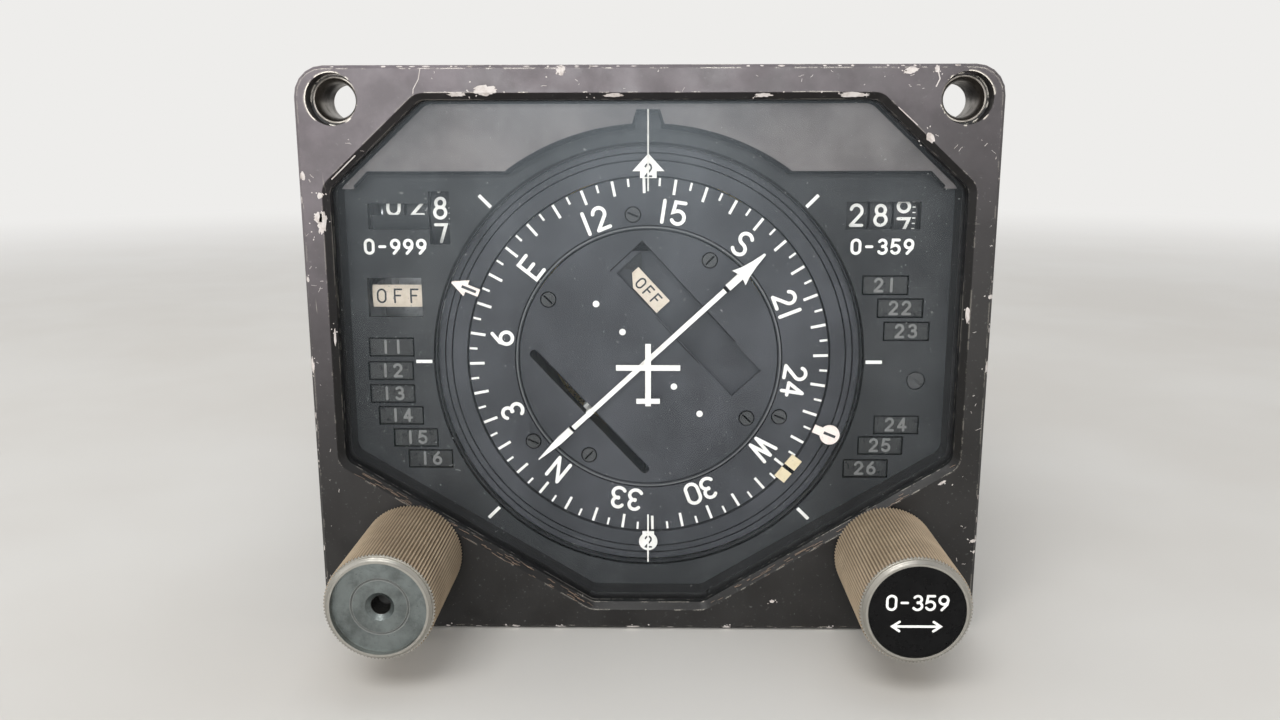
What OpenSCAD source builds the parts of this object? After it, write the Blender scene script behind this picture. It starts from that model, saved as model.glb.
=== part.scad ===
// Horizontal situation indicator for a 5 by 4 inch aircraft panel cut-out.
// X runs to the right and Z up as the pilot sees the dial, Y runs into the panel.
// The origin is the centre of the panel hole pattern, on the rear face of the bezel.
// Depths are measured from the front face of the bezel, heights from its centre.

/* [Bezel] */
// Thickness of the bezel
bezel_t = 12.7; // [12.4:0.1:15]
// Radius of the bezel's corners
bezel_corner_r = 5.5; // [2:0.5:7]
// Distance between the panel holes from side to side
panel_hole_w = 114.3; // [113:0.1:116]
// Distance between the panel holes from top to bottom
panel_hole_h = 96.4; // [96:0.1:98]
// Distance from the panel holes to the sides of the bezel
bezel_side_margin = 6.85; // [6.35:0.1:8.85]
// Distance from the panel holes to the top and bottom of the bezel
bezel_end_margin = 5.95; // [5.75:0.1:7.95]
// Radius of the counterbores round the panel holes
counterbore_r = 4.7; // [4.4:0.1:5.2]
// Depth of the counterbores
counterbore_t = 3.2; // [2.6:0.2:5]
// Bore radius of the bushings in the panel holes
bushing_bore_r = 3.25; // [2.5:0.05:3.4]
// Wall of the bushings
bushing_wall = 0.6; // [0.4:0.1:0.8]

/* [Window] */
// Width of the bezel beside the window
window_side_margin = 5.3; // [5:0.1:6.5]
// Width of the bezel above the window
window_top_margin = 6.05; // [5.5:0.05:7]
// Width of the bezel below the window
window_bottom_margin = 5.25; // [5:0.05:5.9]
// Width of the window's upper corners
window_slope_w = 17.2; // [16:0.2:20]
// Height of the window's upper corners
window_slope_h = 15.8; // [14:0.2:18]
// Height of the window's lower corners
window_low_slope_h = 29.1; // [27:0.1:31]
// Half the width of the window's bottom edge
window_bottom_x = 11; // [9:0.5:13]
// Radius of the window's corners
window_corner_r = 3; // [1:0.5:4]
// Depth of the lip in front of the glass
lip_t = 2.4; // [1.6:0.1:2.8]
// How far the pocket behind the lip is wider than the window
pocket_step = 1.5; // [1:0.1:1.8]
// Thickness of the gasket behind the lip
gasket_t = 0.4; // [0.2:0.1:0.6]
// Thickness of the front glass
glass_t = 2.8; // [2:0.1:3]

/* [Dial] */
// Height of the dial's centre
dial_z = -2; // [-2.6:0.1:-1.4]
// Depth of the mask plate's front
mask_depth = 10; // [9.8:0.1:10.4]
// Thickness of the mask plate
mask_t = 1.4; // [0.8:0.1:1.4]
// Radius of the opening in the mask plate
aperture_r = 42.1; // [41.9:0.1:42.4]
// Outer radius of the inner course disc
course_disc_r = 25.8; // [24.8:0.1:26.6]
// Outer radius of the compass card
card_r = 36.1; // [35.2:0.1:36.6]
// Outer radius of the heading ring
heading_ring_r = 39.2; // [38.6:0.1:39.2]
// Outer radius of the second pointer's ring
pointer_2_ring_r = 40.55; // [40.4:0.05:40.6]
// Outer radius of the first pointer's ring
pointer_1_ring_r = 42; // [41.9:0.05:42.1]
// Running clearance between parts that turn
run = 0.3; // [0.25:0.01:0.4]
// Depth of the faces of the marker rings
ring_depth = 11.9; // [11.7:0.1:12]
// Depth of the faces of the card and the course disc
card_depth = 12.4; // [12.3:0.05:12.6]
// Course angle at which the arrow stands, clockwise from the top
course_angle = 47.2; // [0:0.1:360]
// Angle of the heading bug, clockwise from the top
bug_angle = 128.2; // [0:0.1:360]
// Angle of the first bearing pointer, clockwise from the top
pointer_1_angle = 292.3; // [0:0.1:360]
// Angle of the second bearing pointer, clockwise from the top
pointer_2_angle = 0; // [0:0.1:360]

/* [Knobs] */
// Distance of the knobs' axes from the sides of the bezel
knob_side_margin = 18; // [17:0.5:19]
// Distance of the knobs' axes from the bottom of the bezel
knob_end_margin = 16.15; // [15.55:0.1:16.75]
// Radius of the knobs over their ribs
knob_r = 9.75; // [8.5:0.05:10.2]
// How far the knobs stand out of the bezel
knob_reach = 26.6; // [20:0.2:32]
// Number of ribs round each knob
knob_ribs = 96; // [48:2:120]
// Depth of the knobs' ribs
rib_t = 0.35; // [0.2:0.05:0.5]
// Radius of the recess in the knobs' faces
knob_recess_r = 8.35; // [7:0.05:8.6]
// Depth of the recess in the knobs' faces
knob_recess_t = 1.2; // [0.8:0.1:2]
// Radius of the knobs' shafts
knob_shaft_r = 2.4; // [2:0.1:2.6]

/* [Gears] */
// Module of all gears
gear_module = 1; // [0.96:0.01:1.01]
// Teeth of the two bearing pointers' and the card's gears
ring_teeth = 90; // [88:1:90]
// Teeth of the heading ring's gear
heading_teeth = 88; // [87:1:89]
// Teeth of the course gear
course_teeth = 72; // [71:1:73]
// Teeth of the small pinions
pinion_teeth = 10; // [10:1:11]
// Teeth of the idler between the course knob and gear
course_idler_teeth = 16; // [16:1:17]
// Teeth of the course knob's pinion
course_pinion_teeth = 14; // [14:1:15]
// Thickness of each gear
gear_t = 2.5; // [2:0.1:2.6]
// Gap between gears that lie behind each other
gear_gap = 0.6; // [0.5:0.1:0.8]
// Extra centre distance of each pair of gears
mesh_gap = 0.1; // [0.08:0.01:0.15]

/* [Case] */
// How far the bezel stands out beside the case
case_side_step = 3; // [2.6:0.1:3.2]
// How far the bezel stands out above and below the case
case_end_step = 3.15; // [2.75:0.1:3.35]
// Length of the sloping corners along each side
case_slope = 14; // [13:0.2:15]
// Wall of the case
case_wall = 1.5; // [1:0.1:1.7]
// Length of the case behind the bezel
case_len = 180; // [168:1:220]
// Thickness of the rear cover
cover_t = 2.5; // [1.5:0.1:4]
// Thickness of the frame plates
frame_t = 3; // [2:0.1:3.2]
// Clearance between the counter drums and the front frame plate
drum_back_gap = 2.4; // [2.3:0.1:3.4]
// Shell radius of the large rear connector
connector_r = 15.5; // [13:0.5:17]
// Shell radius of the small rear connector
small_connector_r = 11.5; // [10:0.5:13]
// How far the connectors stand out of the rear cover
connector_reach = 14; // [10:0.5:18]

/* [Counters] */
// Radius of the counter drums
drum_r = 8.4; // [7.8:0.1:8.5]
// Width of each counter drum
drum_w = 4.2; // [3.8:0.1:4.2]
// Gap between the drums of a counter
drum_gap = 0.5; // [0.4:0.05:0.6]
// Distance of the first drum's inner face from the side of the window
counter_inset = 20.3; // [19.9:0.1:20.5]
// Distance of the counters' axes below the corners of the window
counter_drop = 5.6; // [5.3:0.1:5.8]
// Radius of the counters' shafts
drum_shaft_r = 1.5; // [1.2:0.1:1.8]

/* [Deviation bar and flags] */
// How far the deviation bar reaches along the course, each way
bar_reach = 21.1; // [18:0.1:21.2]
// Width of the deviation bar
bar_w = 1; // [0.8:0.1:1.4]
// Distance of the outer deviation dots from the centre
dot_reach = 15.3; // [12:0.1:15.3]
// Distance of the bar's slot from the centre, towards the arrow's tail
slot_offset = 16.1; // [15:0.1:16.4]
// Width of the bar's slot
slot_w = 1.9; // [1.8:0.1:2.4]
// Distance of the flag window's middle from the centre, towards the arrow's head
flag_window_offset = 11.1; // [10.6:0.1:11.4]
// Width of the flag window
flag_window_w = 7.8; // [7:0.1:8]
// Length of the flag window
flag_window_len = 34; // [32:0.5:34]

/* [Hidden] */
$fn = 96;
small_fn = 32;

// Outlines that follow the panel holes
bezel_w = panel_hole_w + 2 * bezel_side_margin;
bezel_h = panel_hole_h + 2 * bezel_end_margin;
window_side_x = bezel_w / 2 - window_side_margin;
window_top_x = window_side_x - window_slope_w;
window_top_z = bezel_h / 2 - window_top_margin;
window_side_high_z = window_top_z - window_slope_h;
window_bottom_z = window_bottom_margin - bezel_h / 2;
window_side_low_z = window_bottom_z + window_low_slope_h;
knob_x = bezel_w / 2 - knob_side_margin;
knob_z = knob_end_margin - bezel_h / 2;
case_w = bezel_w - 2 * case_side_step;
case_h = bezel_h - 2 * case_end_step;
counter_x = window_side_x - counter_inset;
counter_z = window_side_high_z - counter_drop;

// Levels between the glass and the dial
glass_depth = lip_t + gasket_t;
glass_back = glass_depth + glass_t;
shroud_depth = glass_back + 0.6;
shroud_t = 1.2;
mask_back = mask_depth + mask_t;
leaf_t = 0.3;
pointer_1_depth = ring_depth - 1.8;
pointer_2_depth = ring_depth - 1.2;
bug_depth = ring_depth - 0.6;
bar_depth = card_depth - 0.9;
card_t = 1.2;
disc_t = 0.6;
flag_depth = card_depth + 0.9;
to_from_depth = flag_depth + leaf_t + run;
flag_floor_depth = to_from_depth + leaf_t + run;
drum_front_gap = 0.9;
drum_axis_depth = mask_back + drum_front_gap + drum_r;
front_frame_depth = drum_axis_depth + drum_r + drum_back_gap;

// Radii of the nested tubes, each running in the next with the same clearance
pointer_1_bore = pointer_2_ring_r + run;
pointer_2_bore = heading_ring_r + run;
heading_bore = card_r + run;
card_bore = course_disc_r + run;
tube_wall = 1.5;
frame_bore = pointer_1_ring_r + run;

// Gears lie one behind the other in front of the rear frame
gear_pitch = gear_t + gear_gap;
gear_depth = [for (i = [0:4]) front_frame_depth + frame_t + 1.5 + i * gear_pitch];
rear_frame_depth = gear_depth[4] + gear_t + 1.1;
rear_frame_back = rear_frame_depth + frame_t;
tooth_top = 0.9;
tooth_foot = 1.1;
tooth_play = 0.4;
tooth_slope = tan(20);
servo_shaft_r = 1.5;
servo_gap = 1;
servo_len = 38;
pin_play = 0.3;
shaft_play = 0.3;

// Case and frame outlines
case_back = bezel_t + case_len;
case_x = case_w / 2;
case_y = case_h / 2;
case_points = [
  [case_x - case_slope, -case_y], [case_x, case_slope - case_y],
  [case_x, case_y - case_slope], [case_x - case_slope, case_y],
  [case_slope - case_x, case_y], [-case_x, case_y - case_slope],
  [-case_x, case_slope - case_y], [case_slope - case_x, -case_y]
];
bezel_points = [
  [bezel_w / 2, -bezel_h / 2], [bezel_w / 2, bezel_h / 2],
  [-bezel_w / 2, bezel_h / 2], [-bezel_w / 2, -bezel_h / 2]
];
window_points = [
  [window_bottom_x, window_bottom_z], [window_side_x, window_side_low_z],
  [window_side_x, window_side_high_z], [window_top_x, window_top_z],
  [-window_top_x, window_top_z], [-window_side_x, window_side_high_z],
  [-window_side_x, window_side_low_z], [-window_bottom_x, window_bottom_z]
];
seat_play = 0.1;
frame_skirt = 2;
case_corner_r = 2;
frame_points = grown(case_points, -case_wall - seat_play);
shroud_arc_r = 45.2;
lamp_house_back = 20;

// Screws
screw_r = 1;
screw_head_r = 1.6;
screw_head_t = 0.9;
small_screw_r = 0.7;
small_screw_head_r = 1.35;
small_screw_head_t = 0.3;
card_screw_angles = [354, 234, 114];
card_screw_at_r = 29;
disc_screw_angles = [for (i = [0:3]) 31.3 + 90 * i];
disc_screw_at_r = 23.3;
case_screw_depth = 22;
case_screw_x = 30;
case_screw_z = 14;
cover_screw_at = [
  for (x = [-1, 1], z = [-1, 1], at = [[case_x - 16, case_y - 3], [case_x - 3, case_y - 26]])
    [x * at[0], z * at[1]]
];

// Shafts, bearings and brackets
knob_bushing_r = 4;
knob_flange_t = 0.5;
knob_gap = knob_flange_t + 0.4;
knob_shaft_reach = 17;
stub_r = 1.5;
course_hub_r = 4;
course_hub_len = 10;
guide_r = 0.7;
guide_depth = flag_floor_depth + 4.7;
ear_w = 1.2;
ear_r = 4;
off_shaft_r = 1;

// Rear of the case
connector_wall = 1.5;
connector_flange_t = 2;
flange_margin = 4;
connectors = [[[-24, 4], connector_r], [[27, 4], small_connector_r]];
board_depth = [for (i = [0:2]) rear_frame_back + 54 + 16 * i];

// Direction from p to q, and the length of one
function unit(v) = v / norm(v);

// An anticlockwise outline whose edges are all moved outwards by d
function grown(p, d) = [
  for (i = [0:len(p) - 1])
    let (n = len(p), a = unit(p[i] - p[(i + n - 1) % n]), b = unit(p[(i + 1) % n] - p[i]))
    p[i] + d * [a[1] + b[1], -a[0] - b[0]] / (1 + a * b)
];

// The same outline with corners of radius r
function rounded(p, r, steps = 5) = [
  for (i = [0:len(p) - 1])
    let (
      n = len(p), a = unit(p[i] - p[(i + n - 1) % n]), b = unit(p[(i + 1) % n] - p[i]),
      turn = acos(a * b), centre = p[i] - r * tan(turn / 2) * a + r * [-a[1], a[0]],
      start = atan2(-a[0], a[1])
    )
    for (k = [0:steps])
      centre + r * [cos(start + turn * k / steps), sin(start + turn * k / steps)]
];

// A flat outline in X and Z, drawn out between two depths
module slab(d1, d2) {
  translate([0, d2 - bezel_t, 0]) rotate([90, 0, 0]) linear_extrude(d2 - d1) children();
}

// The same outline, with the dial's centre as its origin
module dial_slab(d1, d2) {
  translate([0, 0, dial_z]) slab(d1, d2) children();
}

// A tube about the dial's centre
module dial_tube(r_in, r_out, d1, d2) {
  dial_slab(d1, d2) difference() {
    circle(r_out);
    circle(r_in);
  }
}

// A round bar along Y at a place [x, z]
module bar(at, r, d1, d2) {
  slab(d1, d2) translate(at) circle(r);
}

// A round bar along X at a height and a depth
module cross_bar(x1, x2, depth, z, r) {
  translate([x1, depth - bezel_t, z]) rotate([0, 90, 0]) cylinder(h = x2 - x1, r = r);
}

// A frame between two outlines
module rim(outer, inner, d1, d2) {
  slab(d1, d2) difference() {
    polygon(outer);
    polygon(inner);
  }
}

// A point at an angle clockwise from the top and a radius about the dial's centre
function dial_point(angle, r) = [r * sin(angle), r * cos(angle)];

// Turns a flat outline clockwise, so that its +Y points along the angle
module dial_turned(angle) {
  rotate(-angle) children();
}

// A flat rectangle between two corners
module span(x1, y1, x2, y2) {
  translate([x1, y1]) square([x2 - x1, y2 - y1]);
}

// The pocket behind the lip, or what fits in it with some play
function pocket_outline(play) =
  rounded(grown(window_points, pocket_step - play), window_corner_r);

// A profile of radii and depths, turned about an axis along Y
module turned(at) {
  translate([at[0], -bezel_t, at[1]]) rotate([-90, 0, 0]) rotate_extrude() children();
}

// An outline of depths and heights, drawn out along X
module cross_slab(x1, x2) {
  translate([x1, -bezel_t, 0]) rotate([90, 0, 90]) linear_extrude(x2 - x1) children();
}

// Turns what follows about the dial's centre, so that +Z points along the course
module course_frame() {
  translate([0, 0, dial_z]) rotate([0, course_angle, 0]) children();
}

// A flat wedge that opens towards smaller depths
module wedge(half_a, r) {
  polygon([[0, 0], [-r * cos(half_a), r * sin(half_a)], [-r * cos(half_a), -r * sin(half_a)]]);
}

// A screw head with a slot, standing on the XY plane
module screw_head(r, t) {
  difference() {
    cylinder(h = t, r = r);
    translate([-2 * r, -r / 6, t / 2]) cube([4 * r, r / 3, t]);
  }
}

// A screw driven in along Y, with its head in front of a depth
module slotted_screw(at, depth, head_r, head_t, r, len) {
  translate([at[0], depth - bezel_t, at[1]]) rotate([90, 35, 0]) screw_head(head_r, head_t);
  bar(at, r, depth, depth + len);
}

// A screw in the rear cover, with its head behind a depth
module rear_screw(at, depth) {
  translate([at[0], depth - bezel_t, at[1]]) rotate([-90, 20, 0]) screw_head(1.4 * screw_head_r, 1.3);
  bar(at, screw_r, depth - 5, depth);
}

// The four screw places of a connector's flange
function flange_screw_at(c) = [for (x = [-1, 1], z = [-1, 1]) c[0] + (c[1] + 1.2) * [x, z]];

// Places children on the sides of the case, with +Z outwards
module at_case_screws() {
  y = case_screw_depth - bezel_t;
  for (side = [0, 1]) {
    mirror([0, 0, side])
      for (x = [-case_screw_x, case_screw_x]) translate([x, y, case_y]) children();
    mirror([side, 0, 0])
      for (z = [-case_screw_z, case_screw_z])
        translate([case_x, y, z]) rotate([0, 90, 0]) children();
  }
}

module case_screw_holes(r, depth) {
  at_case_screws() translate([0, 0, -depth]) cylinder(h = depth + 1, r = r);
}

// Pitch radius of a gear, and the distance between two that mesh
function pitch_r(teeth) = teeth * gear_module / 2;
function mesh_distance(n1, n2) = pitch_r(n1) + pitch_r(n2) + mesh_gap;

// Angle of a gear's first tooth that meshes with a driver's, in the direction of the pair
function mesh_phase(driver_phase, n1, n2, direction) =
  direction + 180 - (0.5 - (direction - driver_phase) * n1 / 360) * 360 / n2;

// Outline of a gear, with its first tooth at an angle from +X
module gear_outline(teeth, phase) {
  r = pitch_r(teeth);
  top_r = r + tooth_top * gear_module;
  foot_r = r - tooth_foot * gear_module;
  half = PI * gear_module / 4 - tooth_play / 2;
  top_a = (half - tooth_top * gear_module * tooth_slope) / top_r * 180 / PI;
  foot_a = (half + tooth_foot * gear_module * tooth_slope) / foot_r * 180 / PI;
  polygon([
    for (i = [0:teeth - 1], side = [[foot_r, -foot_a], [top_r, -top_a], [top_r, top_a], [foot_r, foot_a]])
      let (a = phase + i * 360 / teeth + side[1])
      side[0] * [cos(a), sin(a)]
  ]);
}

// A gear at a place [x, z] with a round bore
module gear(at, teeth, phase, bore_r, depth) {
  slab(depth, depth + gear_t) translate(at) difference() {
    gear_outline(teeth, phase);
    circle(bore_r);
  }
}

// Gear train from the course disc to its knob and from the heading ring to its knob
knob_reach_xz = [knob_x, knob_z - dial_z];
knob_distance = norm(knob_reach_xz);
knob_direction = atan2(knob_reach_xz[1], knob_reach_xz[0]);
function lean(a, b, c) = acos((a * a + b * b - c * c) / (2 * a * b));
course_idler_d = mesh_distance(course_teeth, course_idler_teeth);
course_pinion_d = mesh_distance(course_idler_teeth, course_pinion_teeth);
course_idler_a = knob_direction + lean(knob_distance, course_idler_d, course_pinion_d);
course_idler_at = [0, dial_z] + course_idler_d * [cos(course_idler_a), sin(course_idler_a)];
course_idler_phase = mesh_phase(0, course_teeth, course_idler_teeth, course_idler_a);
course_knob_at = [knob_x, knob_z];
course_knob_v = course_knob_at - course_idler_at;
course_knob_a = atan2(course_knob_v[1], course_knob_v[0]);
course_pinion_phase =
  mesh_phase(course_idler_phase, course_idler_teeth, course_pinion_teeth, course_knob_a);
heading_idler_d = mesh_distance(heading_teeth, pinion_teeth);
heading_pinion_d = mesh_distance(pinion_teeth, pinion_teeth);
heading_idler_a = 180 - knob_direction - lean(knob_distance, heading_idler_d, heading_pinion_d);
heading_idler_at = [0, dial_z] + heading_idler_d * [cos(heading_idler_a), sin(heading_idler_a)];
heading_idler_phase = mesh_phase(0, heading_teeth, pinion_teeth, heading_idler_a);
heading_knob_at = [-knob_x, knob_z];
heading_knob_v = heading_knob_at - heading_idler_at;
heading_knob_a = atan2(heading_knob_v[1], heading_knob_v[0]);
heading_pinion_phase = mesh_phase(heading_idler_phase, pinion_teeth, pinion_teeth, heading_knob_a);

// Servo pinions on the rings' gears
servo_d = mesh_distance(ring_teeth, pinion_teeth);
pointer_1_servo_a = 38;
pointer_2_servo_a = 142;
card_servo_a = 0;
function servo_at(a) = [0, dial_z] + servo_d * [cos(a), sin(a)];
function servo_phase(a) = mesh_phase(0, ring_teeth, pinion_teeth, a);

// Motors that fill the room between their axes and the side of the case
servo_r = case_x - case_wall - servo_gap - servo_d;

// Places of the posts, boards and rods
post_r = 2.5;
post_at = [
  for (at = [[case_x - 5, -20], [case_x - 17, case_y - 9]], side = [-1, 1]) [side * at[0], at[1]]
];
board_half = [case_x - case_wall - 4, case_y - 13];
rod_inset = 3.5;
rod_r = 2;
rod_at = [
  for (side = [-1, 1], z = [rod_inset + 6.5 - board_half[1], board_half[1] - rod_inset - 0.5])
    [side * (board_half[0] - rod_inset), z]
];
mask_screw_at = [
  [window_side_x - 5.7, -5.7], [window_top_x + 3.5, window_top_z - 10.1],
  [-window_top_x - 3.5, window_top_z - 10.1]
];

// Windows in the mask, each [left, bottom, right, top]
course_window = [counter_x - 0.3, counter_z - 2.6, counter_x + 14.1, counter_z + 2.7];
miles_window = [-counter_x - 16, counter_z - 2.6, -counter_x - 4, counter_z + 2.4];
miles_units_window = [-counter_x - 4.1, counter_z - 5.5, -counter_x - 0.1, counter_z + 4.7];
off_window = [3.5 - window_side_x, counter_z - 19.8, 14.2 - window_side_x, counter_z - 12];
off_axis_depth = mask_back + 8.2;
off_axis_z = (off_window[1] + off_window[3]) / 2;
annunciator_w = 8.8;
annunciator_h = 3.6;
left_insets = [[7.7, 0.9], [7.4, -3.9], [7.5, -8.6], [9, -13.1], [11.8, -17.7], [14.6, -22.1]];
right_insets = [[12.5, 13.3], [9.4, 8.8], [8, 4.2], [9.1, -14.8], [12.1, -19.1], [14.9, -23.9]];
annunciator_at = [
  for (at = left_insets) [at[0] - window_side_x, at[1]],
  for (at = right_insets) [window_side_x - at[0], at[1]]
];

module bezel() {
  edge = 0.6;
  outline = rounded(bezel_points, bezel_corner_r);
  color([0.2, 0.18, 0.17]) difference() {
    union() {
      hull() {
        slab(0, edge / 2) polygon(rounded(grown(bezel_points, -edge), bezel_corner_r - edge));
        slab(edge, 2 * edge) polygon(outline);
      }
      slab(edge, bezel_t) polygon(outline);
    }
    hull() {
      slab(-edge, 0) polygon(rounded(grown(window_points, 2 * edge), window_corner_r + edge));
      slab(edge, 2 * edge) polygon(rounded(window_points, window_corner_r));
    }
    slab(edge, lip_t + 1) polygon(rounded(window_points, window_corner_r));
    slab(lip_t, bezel_t + 1) polygon(rounded(grown(window_points, pocket_step), window_corner_r));
    for (x = [-1, 1], z = [-1, 1]) {
      at = [x * panel_hole_w, z * panel_hole_h] / 2;
      bar(at, counterbore_r, -1, counterbore_t);
      bar(at, bushing_bore_r + bushing_wall, -1, bezel_t + 1);
    }
    for (side = [-1, 1]) bar([side * knob_x, knob_z], knob_bushing_r, -1, bezel_t + 1);
  }
}

// Eyelets pressed into the panel holes, with a flared front lip
module hole_bushings() {
  r = bushing_bore_r;
  outer = r + bushing_wall;
  lip = 0.4;
  color([0.55, 0.53, 0.5]) for (x = [-1, 1], z = [-1, 1])
    turned([x * panel_hole_w, z * panel_hole_h] / 2) polygon([
      [r, counterbore_t + 3 * lip], [outer, counterbore_t - lip], [outer + lip, counterbore_t - lip],
      [outer + lip, counterbore_t], [outer, counterbore_t], [outer, bezel_t], [r, bezel_t]
    ]);
}

module window_gasket() {
  color([0.08, 0.08, 0.08]) rim(pocket_outline(seat_play), rounded(window_points, window_corner_r),
    lip_t, glass_depth);
}

module front_glass() {
  color([0.6, 0.75, 0.8, 0.3]) slab(glass_depth, glass_back) polygon(pocket_outline(seat_play));
}

// Aeroplane symbol and lubber lines printed on the back of the glass
module reference_marks() {
  print_t = 0.1;
  line_w = 1.1;
  hair_w = 0.3;
  color([0.95, 0.95, 0.93]) slab(glass_back, glass_back + print_t) {
    span(-line_w / 2, -10, line_w / 2, 2.4);
    span(-6.25, -2.9, 6.25, -1.8);
    span(-2.3, -9.5, 2.3, -8.5);
    span(-hair_w / 2, 31.6, hair_w / 2, window_top_z - 1.5);
    span(-hair_w / 2, -42.3, hair_w / 2, -32.3);
  }
}

// Dark frame that holds the mask plate off the glass
module glass_spacer() {
  color([0.1, 0.1, 0.1]) rim(pocket_outline(seat_play), rounded(window_points, window_corner_r),
    glass_back, mask_depth);
}

// Outline of the hood over the dial lamps, cut out round the dial
module shroud_outline(inset) {
  step_x = window_side_x - 5.7;
  edge_z = counter_z + 8.1;
  end_z = edge_z - 2.8;
  notch_z = window_top_z - 2;
  difference() {
    polygon(rounded(grown(window_points, -inset), window_corner_r));
    polygon([
      [-bezel_w, -bezel_h], [bezel_w, -bezel_h], [bezel_w, end_z], [step_x + edge_z - end_z, end_z],
      [step_x, edge_z], [-step_x, edge_z], [end_z - edge_z - step_x, end_z], [-bezel_w, end_z]
    ]);
    translate([0, dial_z]) circle(shroud_arc_r);
    polygon([[-3.4, notch_z - 4], [3.4, notch_z - 4], [1.8, notch_z], [-1.8, notch_z]]);
  }
}

module light_shroud() {
  inset = 0.5;
  rim_w = 1.2;
  color([0.16, 0.15, 0.15]) {
    slab(shroud_depth, shroud_depth + shroud_t) shroud_outline(inset);
    slab(shroud_depth + shroud_t, mask_depth) difference() {
      shroud_outline(inset);
      polygon(rounded(grown(window_points, -inset - rim_w), window_corner_r));
    }
  }
}

// Small lamps lying behind the hood
module dial_lamps() {
  lamp_r = 1.1;
  lamp_len = 6;
  lamp_z = window_top_z - 7.1;
  lamp_inset = 3.5;
  depth = (shroud_depth + shroud_t + mask_depth) / 2;
  lamp_step = 12;
  left_x = lamp_inset - window_top_x;
  right_x = window_top_x - lamp_inset - lamp_len;
  color([0.9, 0.85, 0.7]) for (x = [left_x, left_x + lamp_step, right_x - lamp_step, right_x])
    translate([x, depth - bezel_t, lamp_z]) rotate([0, 90, 0]) rotate_extrude($fn = small_fn) polygon([
      [0, 0], [lamp_r, 0], [lamp_r, 2], [0.8 * lamp_r, 2], [0.8 * lamp_r, 0.8 * lamp_len],
      [0.5 * lamp_r, lamp_len], [0, lamp_len]
    ]);
}

module mask_plate() {
  color([0.1, 0.11, 0.11]) difference() {
    slab(mask_depth, mask_back) difference() {
      polygon(pocket_outline(seat_play));
      translate([0, dial_z]) circle(aperture_r);
      for (w = [course_window, miles_window, miles_units_window, off_window])
        span(w[0], w[1], w[2], w[3]);
      for (at = annunciator_at) translate(at) square([annunciator_w, annunciator_h], center = true);
    }
    for (at = mask_screw_at) {
      bar(at, screw_head_r + pin_play, mask_depth - 1, mask_depth + mask_t / 2);
      bar(at, screw_r + seat_play, mask_depth - 1, mask_back + 1);
    }
  }
}

module mask_screws() {
  color([0.25, 0.25, 0.25]) for (at = mask_screw_at)
    slotted_screw(at, mask_depth + mask_t / 2, screw_head_r, mask_t / 2, screw_r, 6);
}

module annunciator_lenses() {
  color([0.14, 0.14, 0.14]) slab(mask_depth + 0.3, mask_back + 1)
    for (at = annunciator_at) translate(at)
      square([annunciator_w, annunciator_h] - 2 * seat_play * [1, 1], center = true);
}

// Lamp houses behind the annunciator windows, with one cell for each
module annunciator_blocks() {
  cell_wall = 0.7;
  color([0.2, 0.2, 0.2]) difference() {
    slab(mask_back, lamp_house_back) difference() {
      for (at = annunciator_at) translate(at)
        square([annunciator_w, annunciator_h] + 2 * cell_wall * [1, 1], center = true);
      translate([0, dial_z]) circle(frame_bore + run);
    }
    slab(mask_back - 1, lamp_house_back - 1)
      for (at = annunciator_at) translate(at) square([annunciator_w, annunciator_h], center = true);
  }
}

module annunciator_lamps() {
  color([0.9, 0.85, 0.7]) for (at = annunciator_at)
    turned(at) polygon([
      [0, lamp_house_back - 6], [0.6, lamp_house_back - 5.7], [1, lamp_house_back - 4.8],
      [1, lamp_house_back - 3], [1.2, lamp_house_back - 3], [1.2, lamp_house_back - 1],
      [0, lamp_house_back - 1]
    ]);
}

// Cast frame whose skirt stands on the back of the bezel
module front_frame() {
  back = front_frame_depth + frame_t;
  boss_r = 2.2;
  color([0.62, 0.63, 0.64]) difference() {
    union() {
      slab(front_frame_depth, back) polygon(frame_points);
      rim(frame_points, grown(frame_points, -frame_skirt), bezel_t, front_frame_depth);
      for (at = mask_screw_at) bar(at, boss_r, mask_back, front_frame_depth);
    }
    bar([0, dial_z], frame_bore, front_frame_depth - 1, back + 1);
    for (side = [-1, 1]) bar([side * knob_x, knob_z], knob_shaft_r + run, bezel_t, back + 1);
    for (at = mask_screw_at) bar(at, screw_r + seat_play, mask_back - 1, mask_back + 8);
    case_screw_holes(screw_r + seat_play, case_wall + frame_skirt + 1);
  }
}

// Back plate of the gear train, with the stub shafts of the two idlers
module rear_frame() {
  color([0.62, 0.63, 0.64]) difference() {
    union() {
      slab(rear_frame_depth, rear_frame_back) polygon(frame_points);
      bar(heading_idler_at, stub_r, gear_depth[2], rear_frame_depth + 1);
      bar(course_idler_at, stub_r, gear_depth[4], rear_frame_depth + 1);
    }
    bar([0, dial_z], course_hub_r + run, rear_frame_depth - 1, rear_frame_back + 1);
    for (side = [-1, 1])
      bar([side * knob_x, knob_z], knob_shaft_r + run, rear_frame_depth - 1, rear_frame_back + 1);
    for (a = [pointer_1_servo_a, pointer_2_servo_a, card_servo_a])
      bar(servo_at(a), servo_shaft_r + run, rear_frame_depth - 1, rear_frame_back + 1);
  }
}

module frame_posts() {
  color([0.75, 0.75, 0.76])
    for (at = post_at) bar(at, post_r, front_frame_depth + frame_t, rear_frame_depth);
}

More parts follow.
